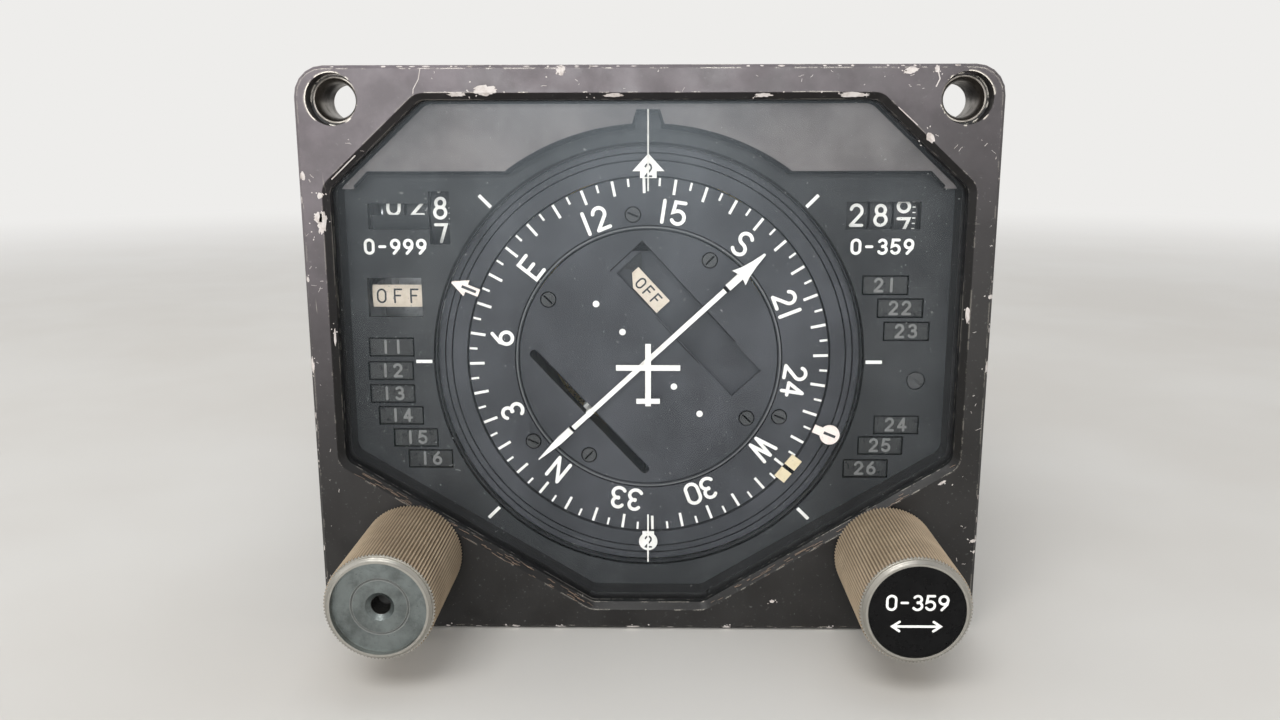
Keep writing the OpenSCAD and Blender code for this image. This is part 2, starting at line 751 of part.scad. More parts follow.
module case_shell() {
  flange_w = 5;
  flange_t = 2;
  color([0.17, 0.17, 0.18]) difference() {
    union() {
      rim(rounded(case_points, case_corner_r), rounded(grown(case_points, -case_wall), case_corner_r),
        bezel_t, case_back);
      rim(grown(case_points, -case_wall / 2), grown(case_points, -flange_w),
        case_back - flange_t, case_back);
    }
    case_screw_holes(screw_r + seat_play, case_wall + 1);
    case_screw_holes(screw_head_r + seat_play, screw_head_t);
    for (at = cover_screw_at) bar(at, screw_r + seat_play, case_back - flange_t - 1, case_back + 1);
  }
}

// Screws of the case and of the rear cover
module case_screws() {
  color([0.7, 0.69, 0.66]) {
    at_case_screws() translate([0, 0, -screw_head_t]) {
      screw_head(screw_head_r, screw_head_t);
      translate([0, 0, screw_head_t - case_wall - frame_skirt])
        cylinder(h = case_wall + frame_skirt - screw_head_t, r = screw_r);
    }
    for (at = cover_screw_at) rear_screw(at, case_back + cover_t);
    for (c = connectors, at = flange_screw_at(c)) rear_screw(at, case_back + cover_t + connector_flange_t);
  }
}

module rear_cover() {
  color([0.17, 0.17, 0.18]) slab(case_back, case_back + cover_t) difference() {
    polygon(rounded(case_points, case_corner_r));
    for (at = cover_screw_at) translate(at) circle(screw_r + seat_play);
    for (c = connectors) {
      translate(c[0]) circle(c[1] - connector_wall);
      for (at = flange_screw_at(c)) translate(at) circle(screw_r + seat_play);
    }
  }
}

// Round connector shells on square flanges
module rear_connectors() {
  front = case_back + cover_t;
  color([0.35, 0.36, 0.3]) for (c = connectors) {
    half = c[1] + flange_margin;
    square_points = [[half, -half], [half, half], [-half, half], [-half, -half]];
    slab(front, front + connector_flange_t) difference() {
      translate(c[0]) polygon(rounded(square_points, 2));
      translate(c[0]) circle(c[1] - connector_wall);
      for (at = flange_screw_at(c)) translate(at) circle(screw_r + seat_play);
    }
    turned(c[0]) polygon([
      [c[1] - connector_wall, front + connector_flange_t / 2], [c[1], front + connector_flange_t / 2],
      [c[1], front + connector_reach], [c[1] - connector_wall, front + connector_reach]
    ]);
  }
}

// Insulating inserts with rings of contact pins
module connector_inserts() {
  front = case_back + cover_t;
  ring_step = 3.6;
  pin_r = 0.5;
  pin_len = 5;
  color([0.25, 0.12, 0.1]) for (c = connectors) {
    bar(c[0], c[1] - connector_wall - seat_play, case_back - 6, front + connector_flange_t);
    for (ring = [0:floor((c[1] - connector_wall - 2 * pin_r) / ring_step)])
      for (i = [0:max(1, 6 * ring) - 1])
        slab(front + connector_flange_t - 1, front + connector_flange_t + pin_len)
          translate(c[0] + dial_point(i * 360 / max(1, 6 * ring), ring * ring_step))
            circle(pin_r, $fn = small_fn);
  }
}

// Motors whose pinions turn the bearing pointers and the compass card
module servo_motors() {
  shaft_hole_len = 8;
  color([0.5, 0.5, 0.48]) for (a = [pointer_1_servo_a, pointer_2_servo_a, card_servo_a])
    turned(servo_at(a)) polygon([
      [servo_shaft_r + run, rear_frame_back], [servo_r, rear_frame_back],
      [servo_r, rear_frame_back + servo_len], [0.7 * servo_r, rear_frame_back + servo_len],
      [0.7 * servo_r, rear_frame_back + servo_len + 4], [0, rear_frame_back + servo_len + 4],
      [0, rear_frame_back + shaft_hole_len], [servo_shaft_r + run, rear_frame_back + shaft_hole_len]
    ]);
}

// Transmitter that reads the course disc's angle
module course_resolver() {
  resolver_r = 12;
  resolver_len = 30;
  color([0.55, 0.52, 0.45]) turned([0, dial_z]) polygon([
    [course_hub_r + run, rear_frame_back], [resolver_r + 4, rear_frame_back],
    [resolver_r + 4, rear_frame_back + 2], [resolver_r, rear_frame_back + 2],
    [resolver_r, rear_frame_back + resolver_len], [0, rear_frame_back + resolver_len],
    [0, rear_frame_back + course_hub_len], [course_hub_r + run, rear_frame_back + course_hub_len]
  ]);
}

// Three boards across the case, with their tallest parts
module circuit_boards() {
  board_t = 1.6;
  can_r = 6;
  can_len = 9;
  can_x = board_half[0] - 25.5;
  chip_x = board_half[0] - 19.5;
  color([0.12, 0.32, 0.16]) for (depth = board_depth) {
    slab(depth, depth + board_t) difference() {
      span(-board_half[0], -board_half[1], board_half[0], board_half[1]);
      for (at = rod_at) translate(at) circle(rod_r + seat_play);
    }
    for (x = [-can_x, 0, can_x]) bar([x, -20], can_r, depth + board_t, depth + board_t + can_len);
    for (step = [-1:0.5:1], z = [0, 16])
      slab(depth + board_t, depth + board_t + 3)
        translate([step * chip_x, z]) square([12, 7], center = true);
  }
}

module board_rods() {
  color([0.75, 0.75, 0.76])
    for (at = rod_at) bar(at, rod_r, rear_frame_back, board_depth[2] + 6);
}

// An ear of the front frame that carries a cross shaft
module ear(x, w, depth, z, r, hole_r) {
  difference() {
    union() {
      slab(depth, front_frame_depth) span(x, z - r, x + w, z + r);
      cross_bar(x, x + w, depth, z, r);
      slab(front_frame_depth - w, front_frame_depth) span(x, z - r, x + 2 * w, z + r);
    }
    cross_bar(x - w, x + 2 * w, depth, z, hole_r);
  }
}

// Ears and shafts of the two counters, and the ears of the warning flag
module shaft_brackets() {
  counter_len = 3 * drum_w + 2 * drum_gap;
  color([0.7, 0.7, 0.68]) {
    for (side = [0, 1]) mirror([side, 0, 0]) {
      for (x = [counter_x - run - ear_w, counter_x + counter_len + run])
        ear(x, ear_w, drum_axis_depth, counter_z, ear_r, drum_shaft_r);
      cross_bar(counter_x - run - ear_w, counter_x + counter_len + run + ear_w,
        drum_axis_depth, counter_z, drum_shaft_r);
    }
    for (x = [off_window[0] - 1 - ear_w / 2, off_window[2] + 0.6])
      ear(x, ear_w, off_axis_depth, off_axis_z, ear_r / 2, off_shaft_r + pin_play);
  }
}

// Plain bearings of the knob shafts, pressed into the bezel
module knob_bushings() {
  color([0.7, 0.6, 0.35]) for (side = [-1, 1])
    turned([side * knob_x, knob_z]) polygon([
      [knob_shaft_r + shaft_play, -knob_flange_t], [knob_bushing_r + 1.5, -knob_flange_t],
      [knob_bushing_r + 1.5, 0], [knob_bushing_r, 0],
      [knob_bushing_r, bezel_t + 3], [knob_shaft_r + shaft_play, bezel_t + 3]
    ]);
}

// Compass card with its outer tube and the sleeve that runs on the course disc
module compass_card() {
  color([0.08, 0.09, 0.1]) difference() {
    union() {
      dial_tube(card_bore, card_r, card_depth, card_depth + card_t);
      dial_tube(card_r - tube_wall, card_r, card_depth, gear_depth[3]);
      dial_tube(card_bore, card_bore + tube_wall, card_depth, card_depth + 10);
    }
    for (a = card_screw_angles)
      bar([0, dial_z] + dial_point(a, card_screw_at_r), small_screw_r + seat_play,
        card_depth - 1, card_depth + card_t + 1);
  }
}

module card_screws() {
  color([0.15, 0.15, 0.15]) for (a = card_screw_angles)
    slotted_screw([0, dial_z] + dial_point(a, card_screw_at_r), card_depth, small_screw_head_r,
      small_screw_head_t, small_screw_r, 3);
}

module card_gear() {
  color([0.75, 0.65, 0.35]) gear([0, dial_z], ring_teeth, 0, card_r - 2 * tube_wall, gear_depth[3]);
}

// A servo's pinion on its shaft
module servo_pinion(angle, level) {
  color([0.75, 0.65, 0.35]) {
    gear(servo_at(angle), pinion_teeth, servo_phase(angle), 0, gear_depth[level]);
    bar(servo_at(angle), servo_shaft_r, gear_depth[level], rear_frame_back + 6);
  }
}

module card_pinion() servo_pinion(card_servo_a, 3);
module pointer_1_pinion() servo_pinion(pointer_1_servo_a, 0);
module pointer_2_pinion() servo_pinion(pointer_2_servo_a, 1);

// A marker ring whose tube runs back to its gear
module geared_ring(r_in, r_out, teeth, level) {
  dial_tube(r_in, r_out, ring_depth, gear_depth[level] + gear_t / 2);
  gear([0, dial_z], teeth, 0, r_in, gear_depth[level]);
}

module heading_ring() color([0.1, 0.11, 0.12])
  geared_ring(heading_bore, heading_ring_r, heading_teeth, 2);
module pointer_2_ring() color([0.1, 0.11, 0.12])
  geared_ring(pointer_2_bore, pointer_2_ring_r, ring_teeth, 1);
module pointer_1_ring() color([0.1, 0.11, 0.12])
  geared_ring(pointer_1_bore, pointer_1_ring_r, ring_teeth, 0);

// Two blocks with a slit between them, on a foot that stands on the heading ring
module heading_bug() {
  inner_r = 35;
  outer_r = 37.5;
  slit = 0.25;
  block_w = 2.6;
  color([0.87, 0.82, 0.68]) {
    for (side = [0, 1]) dial_slab(bug_depth, bug_depth + leaf_t) dial_turned(bug_angle)
      mirror([side, 0]) span(slit, inner_r, slit + block_w, outer_r);
    dial_slab(bug_depth + leaf_t, ring_depth) dial_turned(bug_angle)
      span(-block_w, heading_bore + 0.1, block_w, outer_r);
  }
}

// A knob with straight ribs and a recessed face
module knob(side) {
  at = [side * knob_x, knob_z];
  rim_t = 1;
  rim_r = knob_r - rib_t - 0.15;
  face = knob_recess_t - knob_reach;
  groove_r = 4.8;
  groove_w = 0.4;
  hole_r = 1.7;
  difference() {
    union() {
      slab(rim_t - knob_reach, -knob_gap) translate(at) polygon([
        for (i = [0:2 * knob_ribs - 1])
          (knob_r - (i % 2) * rib_t) * [cos(180 * i / knob_ribs), sin(180 * i / knob_ribs)]
      ]);
      turned(at) polygon([
        [0, -knob_reach], [rim_r - rim_t / 2, -knob_reach], [rim_r, rim_t / 2 - knob_reach],
        [rim_r, 2 * rim_t - knob_reach], [0, 2 * rim_t - knob_reach]
      ]);
    }
    turned(at) polygon([
      [0, -knob_reach - 1], [knob_recess_r, -knob_reach - 1], [knob_recess_r, face],
      [groove_r + groove_w, face], [groove_r + groove_w / 2, face + groove_w], [groove_r, face],
      [1.5 * hole_r, face], [hole_r, face + 0.5 * hole_r], [hole_r, face + 5], [0, face + 5]
    ]);
    bar(at, knob_shaft_r, -knob_shaft_reach, 0);
  }
}

module heading_knob() color([0.59, 0.53, 0.43]) knob(-1);
module course_knob() color([0.59, 0.53, 0.43]) knob(1);

module course_knob_cap() {
  cap_t = 1;
  color([0.05, 0.05, 0.05])
    bar([knob_x, knob_z], knob_recess_r - seat_play, knob_recess_t - knob_reach - cap_t,
      knob_recess_t - knob_reach);
}

// A knob's shaft with its pinion
module knob_shaft(at, teeth, phase, level) {
  bar(at, knob_shaft_r, -knob_shaft_reach, rear_frame_back + 1);
  gear(at, teeth, phase, 0, gear_depth[level]);
}

module heading_shaft() color([0.75, 0.75, 0.76])
  knob_shaft(heading_knob_at, pinion_teeth, heading_pinion_phase, 2);
module course_shaft() color([0.75, 0.75, 0.76])
  knob_shaft(course_knob_at, course_pinion_teeth, course_pinion_phase, 4);
module heading_idler() color([0.75, 0.65, 0.35])
  gear(heading_idler_at, pinion_teeth, heading_idler_phase, stub_r + run, gear_depth[2]);
module course_idler() color([0.75, 0.65, 0.35])
  gear(course_idler_at, course_idler_teeth, course_idler_phase, stub_r + run, gear_depth[4]);

// Inner disc: a cup with the bar's slot, the flag window and the floor behind it
module course_disc() {
  cup_r = course_disc_r - tube_wall;
  floor_t = 0.8;
  rod_len = 2 * sqrt(pow(cup_r + tube_wall / 2, 2) - pow(slot_offset, 2));
  color([0.08, 0.09, 0.1]) {
    dial_slab(card_depth, card_depth + disc_t) difference() {
      circle(course_disc_r);
      dial_turned(course_angle) {
        half_slot = dot_reach + slot_w;
        translate([0, -slot_offset]) square([2 * half_slot - slot_w, slot_w], center = true);
        for (side = [-1, 1])
          translate([side * (half_slot - slot_w / 2), -slot_offset]) circle(slot_w / 2);
        translate([0, flag_window_offset]) square([flag_window_len, flag_window_w], center = true);
      }
      for (a = disc_screw_angles)
        dial_turned(a) translate([0, disc_screw_at_r]) circle(small_screw_r + seat_play);
    }
    dial_tube(cup_r, course_disc_r, card_depth, gear_depth[4]);
    dial_slab(flag_floor_depth, flag_floor_depth + floor_t) difference() {
      circle(cup_r + tube_wall / 2);
      dial_turned(course_angle) span(-course_disc_r, -course_disc_r, course_disc_r, 2);
    }
    course_frame() translate([-rod_len / 2, guide_depth - bezel_t, -slot_offset])
      rotate([0, 90, 0]) cylinder(h = rod_len, r = guide_r);
  }
}

// Arrow and tail that stand off the course disc on feet
module course_pointer() {
  shaft_w = 1.4;
  start_r = bar_reach + run;
  color([0.95, 0.95, 0.92]) {
    dial_slab(bar_depth, bar_depth + leaf_t) dial_turned(course_angle) {
      polygon([
        [-shaft_w / 2, start_r], [shaft_w / 2, start_r], [shaft_w / 2, 24.7], [1.95, 24.3],
        [1.25, 26], [0.65, 28.4], [0.2, 31.2], [-0.2, 31.2], [-0.65, 28.4], [-1.25, 26],
        [-1.95, 24.3], [-shaft_w / 2, 24.7]
      ]);
      polygon([
        [-shaft_w / 2, -start_r], [-shaft_w / 2, -25], [-0.1, -30.5], [0.1, -30.5],
        [shaft_w / 2, -25], [shaft_w / 2, -start_r]
      ]);
    }
    dial_slab(bar_depth + leaf_t, card_depth) dial_turned(course_angle)
      for (side = [0, 1]) mirror([0, side])
        span(-shaft_w / 2, start_r, shaft_w / 2, course_disc_r - 1);
  }
}

module disc_screws() {
  color([0.15, 0.15, 0.15]) for (a = disc_screw_angles)
    slotted_screw([0, dial_z] + dial_point(a, disc_screw_at_r), card_depth, small_screw_head_r,
      small_screw_head_t, small_screw_r, 1.5);
}

// Gear that closes the back of the cup, with the hub that turns in the rear frame
module course_gear() {
  color([0.75, 0.65, 0.35]) {
    gear([0, dial_z], course_teeth, 0, 0, gear_depth[4]);
    bar([0, dial_z], course_hub_r, gear_depth[4] + gear_t / 2, rear_frame_back + course_hub_len - 2);
  }
}

// Bar over the disc, its arm through the slot and the slider on the guide rod
module deviation_bar() {
  arm_w = 1.2;
  slider = [2.4, 3, 2.7];
  color([0.95, 0.95, 0.92]) {
    dial_slab(bar_depth, bar_depth + leaf_t) dial_turned(course_angle)
      span(-bar_w / 2, -bar_reach, bar_w / 2, bar_reach);
    dial_slab(bar_depth + leaf_t, guide_depth - slider[1] / 2) dial_turned(course_angle)
      translate([0, -slot_offset]) square(arm_w, center = true);
    course_frame() translate([0, guide_depth - bezel_t, -slot_offset]) difference() {
      cube(slider, center = true);
      rotate([0, 90, 0]) cylinder(h = slider[0] + 1, r = guide_r + run, center = true);
    }
  }
}

// Leaf at the end of the flag window that shows whether the course leads to or from
module to_from_flag() {
  color([0.12, 0.12, 0.13]) dial_slab(to_from_depth, to_from_depth + leaf_t)
    dial_turned(course_angle) polygon([[-18, 7.6], [-13.6, 11.1], [-18, 14.6]]);
}

module nav_flag() {
  color([0.92, 0.87, 0.78]) dial_slab(flag_depth, flag_depth + leaf_t)
    dial_turned(course_angle) polygon([
      [-5.7, 7.5], [-5.7, 11.1], [-14.9, 11.1], [-14.9, 9.4], [-12.6, 7.5]
    ]);
}

// Curved warning flag on two arms and a shaft
module off_flag() {
  vane_r = off_axis_depth - mask_back - 1;
  vane_t = 0.5;
  half_a = 18;
  arm_a = 8;
  x1 = off_window[0] + run;
  x2 = off_window[2] - run;
  color([0.92, 0.87, 0.78]) {
    cross_slab(x1, x2) translate([off_axis_depth, off_axis_z]) intersection() {
      difference() {
        circle(vane_r);
        circle(vane_r - vane_t);
      }
      wedge(half_a, 2 * vane_r);
    }
    for (x = [x1, x2 - vane_t]) cross_slab(x, x + vane_t)
      translate([off_axis_depth, off_axis_z]) intersection() {
        circle(vane_r - vane_t / 2);
        wedge(arm_a, vane_r);
      }
    cross_bar(off_window[0] - 1 - ear_w / 2, off_window[2] + 0.6 + ear_w, off_axis_depth, off_axis_z,
      off_shaft_r);
  }
}

// Bearing pointers: a head and a tail that stand off their ring on feet
module bearing_pointer_1() {
  color([0.95, 0.9, 0.88]) {
    dial_slab(pointer_1_depth, pointer_1_depth + leaf_t) dial_turned(pointer_1_angle) {
      polygon([
        [-0.75, 36], [0.75, 36], [0.75, 38.6], [1.7, 38.6], [0.15, 41.7], [-0.15, 41.7],
        [-1.7, 38.6], [-0.75, 38.6]
      ]);
      span(-0.85, -38, 0.85, -35.9);
      translate([0, -39.4]) circle(2);
    }
    dial_slab(pointer_1_depth + leaf_t, ring_depth) dial_turned(pointer_1_angle) {
      span(-0.3, pointer_1_bore + 0.1, 0.3, 41.5);
      span(-0.8, -41.3, 0.8, -pointer_1_bore - 0.1);
    }
  }
}

module bearing_pointer_2() {
  color([0.95, 0.95, 0.92]) {
    dial_slab(pointer_2_depth, pointer_2_depth + leaf_t) dial_turned(pointer_2_angle) {
      polygon([
        [-1.6, 35.9], [1.6, 35.9], [1.6, 37.2], [3.1, 37.2], [0.15, 40.4], [-0.15, 40.4],
        [-3.1, 37.2], [-1.6, 37.2]
      ]);
      span(-1.2, -37, 1.2, -35.8);
      translate([0, -38]) circle(1.9);
    }
    dial_slab(pointer_2_depth + leaf_t, ring_depth) dial_turned(pointer_2_angle) {
      span(-0.5, pointer_2_bore + 0.02, 0.5, 39.85);
      span(-0.5, -39.8, 0.5, -pointer_2_bore - 0.02);
    }
  }
}

// A counter drum: a rim and a hub joined by a thin web
module drum(index, side) {
  rim_t = 0.9;
  hub_r = drum_shaft_r + run + 0.8;
  web_t = 1;
  x = counter_x + index * (drum_w + drum_gap);
  color([0.08, 0.08, 0.08]) mirror([side, 0, 0])
    translate([x, drum_axis_depth - bezel_t, counter_z]) rotate([0, 90, 0]) rotate_extrude() polygon([
      [drum_shaft_r + run, 0], [hub_r, 0], [hub_r, (drum_w - web_t) / 2],
      [drum_r - rim_t, (drum_w - web_t) / 2], [drum_r - rim_t, 0], [drum_r, 0], [drum_r, drum_w],
      [drum_r - rim_t, drum_w], [drum_r - rim_t, (drum_w + web_t) / 2],
      [hub_r, (drum_w + web_t) / 2], [hub_r, drum_w], [drum_shaft_r + run, drum_w]
    ]);
}

module course_units_drum() drum(2, 0);
module course_tens_drum() drum(1, 0);
module course_hundreds_drum() drum(0, 0);
module miles_units_drum() drum(0, 1);
module miles_tens_drum() drum(1, 1);
module miles_hundreds_drum() drum(2, 1);

bezel();
hole_bushings();
window_gasket();
front_glass();
reference_marks();
glass_spacer();
light_shroud();
dial_lamps();
mask_plate();
mask_screws();
annunciator_lenses();
annunciator_blocks();
annunciator_lamps();
front_frame();
rear_frame();
frame_posts();
case_shell();
case_screws();
rear_cover();
rear_connectors();
connector_inserts();
servo_motors();
course_resolver();
circuit_boards();
board_rods();
shaft_brackets();
knob_bushings();
compass_card();
card_screws();
card_gear();
card_pinion();
heading_ring();
heading_bug();
heading_knob();
heading_shaft();
heading_idler();
course_disc();
course_pointer();
disc_screws();
course_gear();
course_knob();
course_knob_cap();
course_shaft();
course_idler();
deviation_bar();
to_from_flag();
nav_flag();
off_flag();
pointer_1_ring();
bearing_pointer_1();
pointer_1_pinion();
pointer_2_ring();
bearing_pointer_2();
pointer_2_pinion();
course_units_drum();
course_tens_drum();
course_hundreds_drum();
miles_units_drum();
miles_tens_drum();
miles_hundreds_drum();
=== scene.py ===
import math
import random

import bmesh
import bpy
from mathutils import Matrix, Vector


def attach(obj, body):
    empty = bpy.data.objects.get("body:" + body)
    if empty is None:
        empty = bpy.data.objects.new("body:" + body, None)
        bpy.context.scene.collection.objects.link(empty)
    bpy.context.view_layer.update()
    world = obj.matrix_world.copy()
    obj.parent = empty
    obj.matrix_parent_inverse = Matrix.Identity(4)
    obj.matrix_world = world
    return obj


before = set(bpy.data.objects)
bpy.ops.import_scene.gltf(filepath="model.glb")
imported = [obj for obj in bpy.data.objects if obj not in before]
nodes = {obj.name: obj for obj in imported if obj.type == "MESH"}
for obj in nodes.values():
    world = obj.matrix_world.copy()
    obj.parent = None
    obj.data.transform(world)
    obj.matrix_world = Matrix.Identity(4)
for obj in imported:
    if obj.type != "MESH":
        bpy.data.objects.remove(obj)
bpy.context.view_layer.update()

MM = 0.001
# Sizes of the CAD part in millimetres, and angles clockwise from the top in degrees
BEZEL_W, BEZEL_H, CASE_H, CASE_BACK = 128.0, 108.3, 102.0, 182.5
FRONT = -12.7                 # y of the bezel's front face
DIAL_Z = -2.0                 # height of the dial's centre
COURSE, POINTER_1, BUG = 47.2, 292.3, 128.2
KNOB_X, KNOB_Z, KNOB_REACH = 46.0, -38.0, 26.6
PINS_Y = 184.55               # where the contact pins leave their insulator


# Materials

def rgb(r, g, b):
    """Linear colour of an sRGB colour from 0 to 255"""
    def linear(c):
        c /= 255
        return c / 12.92 if c <= 0.04045 else ((c + 0.055) / 1.055) ** 2.4
    return linear(r), linear(g), linear(b), 1.0


class Paint:
    """One material: a Principled shader and small helpers that add its nodes"""

    def __init__(self, name, colour, rough=0.5, metal=0.0):
        self.material = bpy.data.materials.new(name)
        self.material.use_nodes = True
        self.tree = self.material.node_tree
        self.bsdf = self.tree.nodes["Principled BSDF"]
        self.object = self.node("ShaderNodeTexCoord").outputs["Object"]
        self.put(self.bsdf.inputs["Base Color"], colour)
        self.put(self.bsdf.inputs["Roughness"], rough)
        self.put(self.bsdf.inputs["Metallic"], metal)

    def node(self, kind, **attributes):
        made = self.tree.nodes.new(kind)
        for key, value in attributes.items():
            setattr(made, key, value)
        return made

    def put(self, socket, value):
        if isinstance(value, bpy.types.NodeSocket):
            self.tree.links.new(value, socket)
        else:
            socket.default_value = value

    def set(self, key, value):
        self.put(self.bsdf.inputs[key], value)

    def stretched(self, x, y, z, turn=0.0):
        made = self.node("ShaderNodeMapping")
        made.inputs["Scale"].default_value = (x, y, z)
        made.inputs["Rotation"].default_value = (0.0, math.radians(turn), 0.0)
        self.put(made.inputs["Vector"], self.object)
        return made.outputs["Vector"]

    def noise(self, size, detail=3.0, rough=0.55, where=None, twist=0.0):
        """Noise whose largest features are about size millimetres"""
        made = self.node("ShaderNodeTexNoise")
        self.put(made.inputs["Vector"], where or self.object)
        made.inputs["Scale"].default_value = 1000 / size
        made.inputs["Detail"].default_value = detail
        made.inputs["Roughness"].default_value = rough
        made.inputs["Distortion"].default_value = twist
        return made.outputs["Fac"]

    def math(self, operation, a, b=0.0):
        made = self.node("ShaderNodeMath", operation=operation)
        for socket, value in zip(made.inputs, (a, b)):
            self.put(socket, value)
        return made.outputs[0]

    def product(self, a, b):
        return self.math("MULTIPLY", a, b)

    def span(self, value, low, high, to_low=0.0, to_high=1.0):
        """Smooth step of a value from one range to another"""
        made = self.node("ShaderNodeMapRange", interpolation_type="SMOOTHSTEP")
        for key, v in zip(("Value", "From Min", "From Max", "To Min", "To Max"),
                          (value, low, high, to_low, to_high)):
            self.put(made.inputs[key], v)
        return made.outputs["Result"]

    def mix(self, share, a, b):
        made = self.node("ShaderNodeMix", data_type="RGBA")
        self.put(made.inputs[0], share)
        self.put(made.inputs[6], a)
        self.put(made.inputs[7], b)
        return made.outputs[2]

    def blend(self, share, a, b):
        made = self.node("ShaderNodeMix", data_type="FLOAT")
        self.put(made.inputs[0], share)
        self.put(made.inputs[2], a)
        self.put(made.inputs[3], b)
        return made.outputs[0]

    def axis(self, name):
        made = self.node("ShaderNodeSeparateXYZ")
        self.put(made.inputs[0], self.object)
        return made.outputs[name]

    def near(self, spots):
        """1 at the middle of any spot [x, y, z, radius] in millimetres, falling to 0 at its radius"""
        share = 0.0
        for x, y, z, radius in spots:
            apart = self.node("ShaderNodeVectorMath", operation="DISTANCE")
            self.put(apart.inputs[0], self.object)
            self.put(apart.inputs[1], (x * MM, y * MM, z * MM))
            close = self.span(apart.outputs["Value"], 0.0, radius * MM, 1.0, 0.0)
            share = self.math("MAXIMUM", share, close)
        return share

    def edges(self, radius, low=0.02, high=0.2):
        """1 near sharp edges, 0 on flat faces"""
        bevel = self.node("ShaderNodeBevel", samples=8)
        bevel.inputs["Radius"].default_value = radius * MM
        dot = self.node("ShaderNodeVectorMath", operation="DOT_PRODUCT")
        self.put(dot.inputs[0], bevel.outputs["Normal"])
        self.put(dot.inputs[1], self.node("ShaderNodeNewGeometry").outputs["Normal"])
        return self.span(self.math("SUBTRACT", 1.0, dot.outputs["Value"]), low, high)

    def bump(self, height, depth, strength):
        """Bump of depth millimetres"""
        made = self.node("ShaderNodeBump")
        made.inputs["Distance"].default_value = depth * MM
        made.inputs["Strength"].default_value = strength
        if self.bsdf.inputs["Normal"].links:
            self.put(made.inputs["Normal"], self.bsdf.inputs["Normal"].links[0].from_socket)
        self.put(made.inputs["Height"], height)
        self.set("Normal", made.outputs["Normal"])


def fade_and_wall(p, colour, sheen_colours):
    """The bezel's paint: lighter toward its upper left, a painted sheen, and near black on the window's
    chamfer and inner wall, painted shade
    """
    # Painted sheen: the colour turns lighter toward the upper left
    place_up = p.math("SUBTRACT", p.axis("Z"), p.product(p.axis("X"), 0.3))
    share = p.math("POWER", p.span(place_up, -35 * MM, 70 * MM), 2.1)
    colour = p.mix(share, colour, p.mix(p.span(p.noise(9, 5, 0.6), 0.35, 0.65), *sheen_colours))
    # Painted shade: the window's chamfer and inner wall turn near black
    inside = p.product(p.span(p.math("ABSOLUTE", p.axis("X")), 62 * MM, 62.2 * MM, 1.0, 0.0),
                       p.span(p.math("ABSOLUTE", p.axis("Z")), 52.4 * MM, 52.6 * MM, 1.0, 0.0))
    wall = p.product(inside, p.span(p.axis("Y"), (FRONT + 0.02) * MM, (FRONT + 0.14) * MM))
    return p.mix(p.product(wall, 0.9), colour, rgb(12, 11, 11))


def worn_paint(name, dark, light, rough, wear, size, grain=0.35, grain_depth=0.02,
               edge_radius=0.5, spots=(), sheen_colours=None):
    """Paint worn to the metal along edges and round spots, with small chips, scratches and dust"""
    p = Paint(name, dark)
    cloud = p.span(p.noise(22, 4), 0.35, 0.7)
    colour = p.mix(cloud, dark, light)
    # Given sheen colours add a painted sheen at the upper left and painted shade on the window's chamfer
    if sheen_colours:
        colour = fade_and_wall(p, colour, sheen_colours)
    dust = p.span(p.noise(0.8, 2, 0.7), 0.62, 0.8, 0.0, 0.35)
    colour = p.mix(dust, colour, tuple(0.5 * (a + 0.35) for a in light[:3]) + (1.0,))
    edge = p.edges(edge_radius)
    patch = p.noise(size, 5, 0.65)
    if spots:
        patch = p.math("ADD", patch, p.product(p.near(spots), 0.22))
    along = p.product(edge, p.span(patch, wear, wear + 0.04))
    chips = p.product(p.span(p.noise(5.5, 6, 0.75), 0.70, 0.72), p.span(p.noise(30, 2), 0.45, 0.55))
    lines = p.noise(0.9, 2, 0.5, p.stretched(0.05, 0.3, 1.0), 0.3)
    fine = p.noise(0.9, 2, 0.5, p.stretched(1.0, 0.3, 0.045), 0.3)
    scratch = p.math("MAXIMUM", p.span(lines, 0.745, 0.765), p.span(fine, 0.745, 0.765))
    scratch = p.product(scratch, p.span(p.noise(14, 2), 0.5, 0.6))
    metal = p.math("MAXIMUM", along, chips)
    colour = p.mix(p.product(scratch, 0.45), colour, BARE)
    p.set("Base Color", p.mix(metal, colour, BARE))
    p.set("Metallic", p.product(metal, 0.85))
    rough_noise = p.span(p.noise(7, 4), 0.3, 0.7, rough - 0.07, rough + 0.1)
    p.set("Roughness", p.blend(metal, rough_noise, 0.38))
    p.set("Specular IOR Level", 0.4)
    p.bump(p.noise(grain, 2, 0.6), grain_depth, 0.5)
    p.bump(p.math("SUBTRACT", 1.0, metal), 0.06, 0.6)
    return p.material


def metal_finish(name, colour, dull, rough, streak=None):
    """Bare or plated metal with brushing, tarnish and specks of dirt"""
    p = Paint(name, colour, rough, 1.0)
    tarnish = p.span(p.noise(6.0, 5, 0.6), 0.42, 0.68)
    spots = p.span(p.noise(0.9, 3, 0.7), 0.6, 0.75, 0.0, 0.5)
    dirt = tuple(0.35 * c for c in dull[:3]) + (1.0,)
    p.set("Base Color", p.mix(spots, p.mix(tarnish, colour, dull), dirt))
    brushed = p.noise(0.35, 2, 0.6, p.stretched(*streak) if streak else None)
    uneven = p.math("ADD", p.product(brushed, 0.6), p.product(tarnish, 0.4))
    p.set("Roughness", p.span(uneven, 0.2, 0.8, rough - 0.08, rough + 0.16))
    p.set("Metallic", p.span(spots, 0.0, 0.5, 1.0, 0.75))
    p.bump(brushed, 0.006, 0.5)
    return p.material


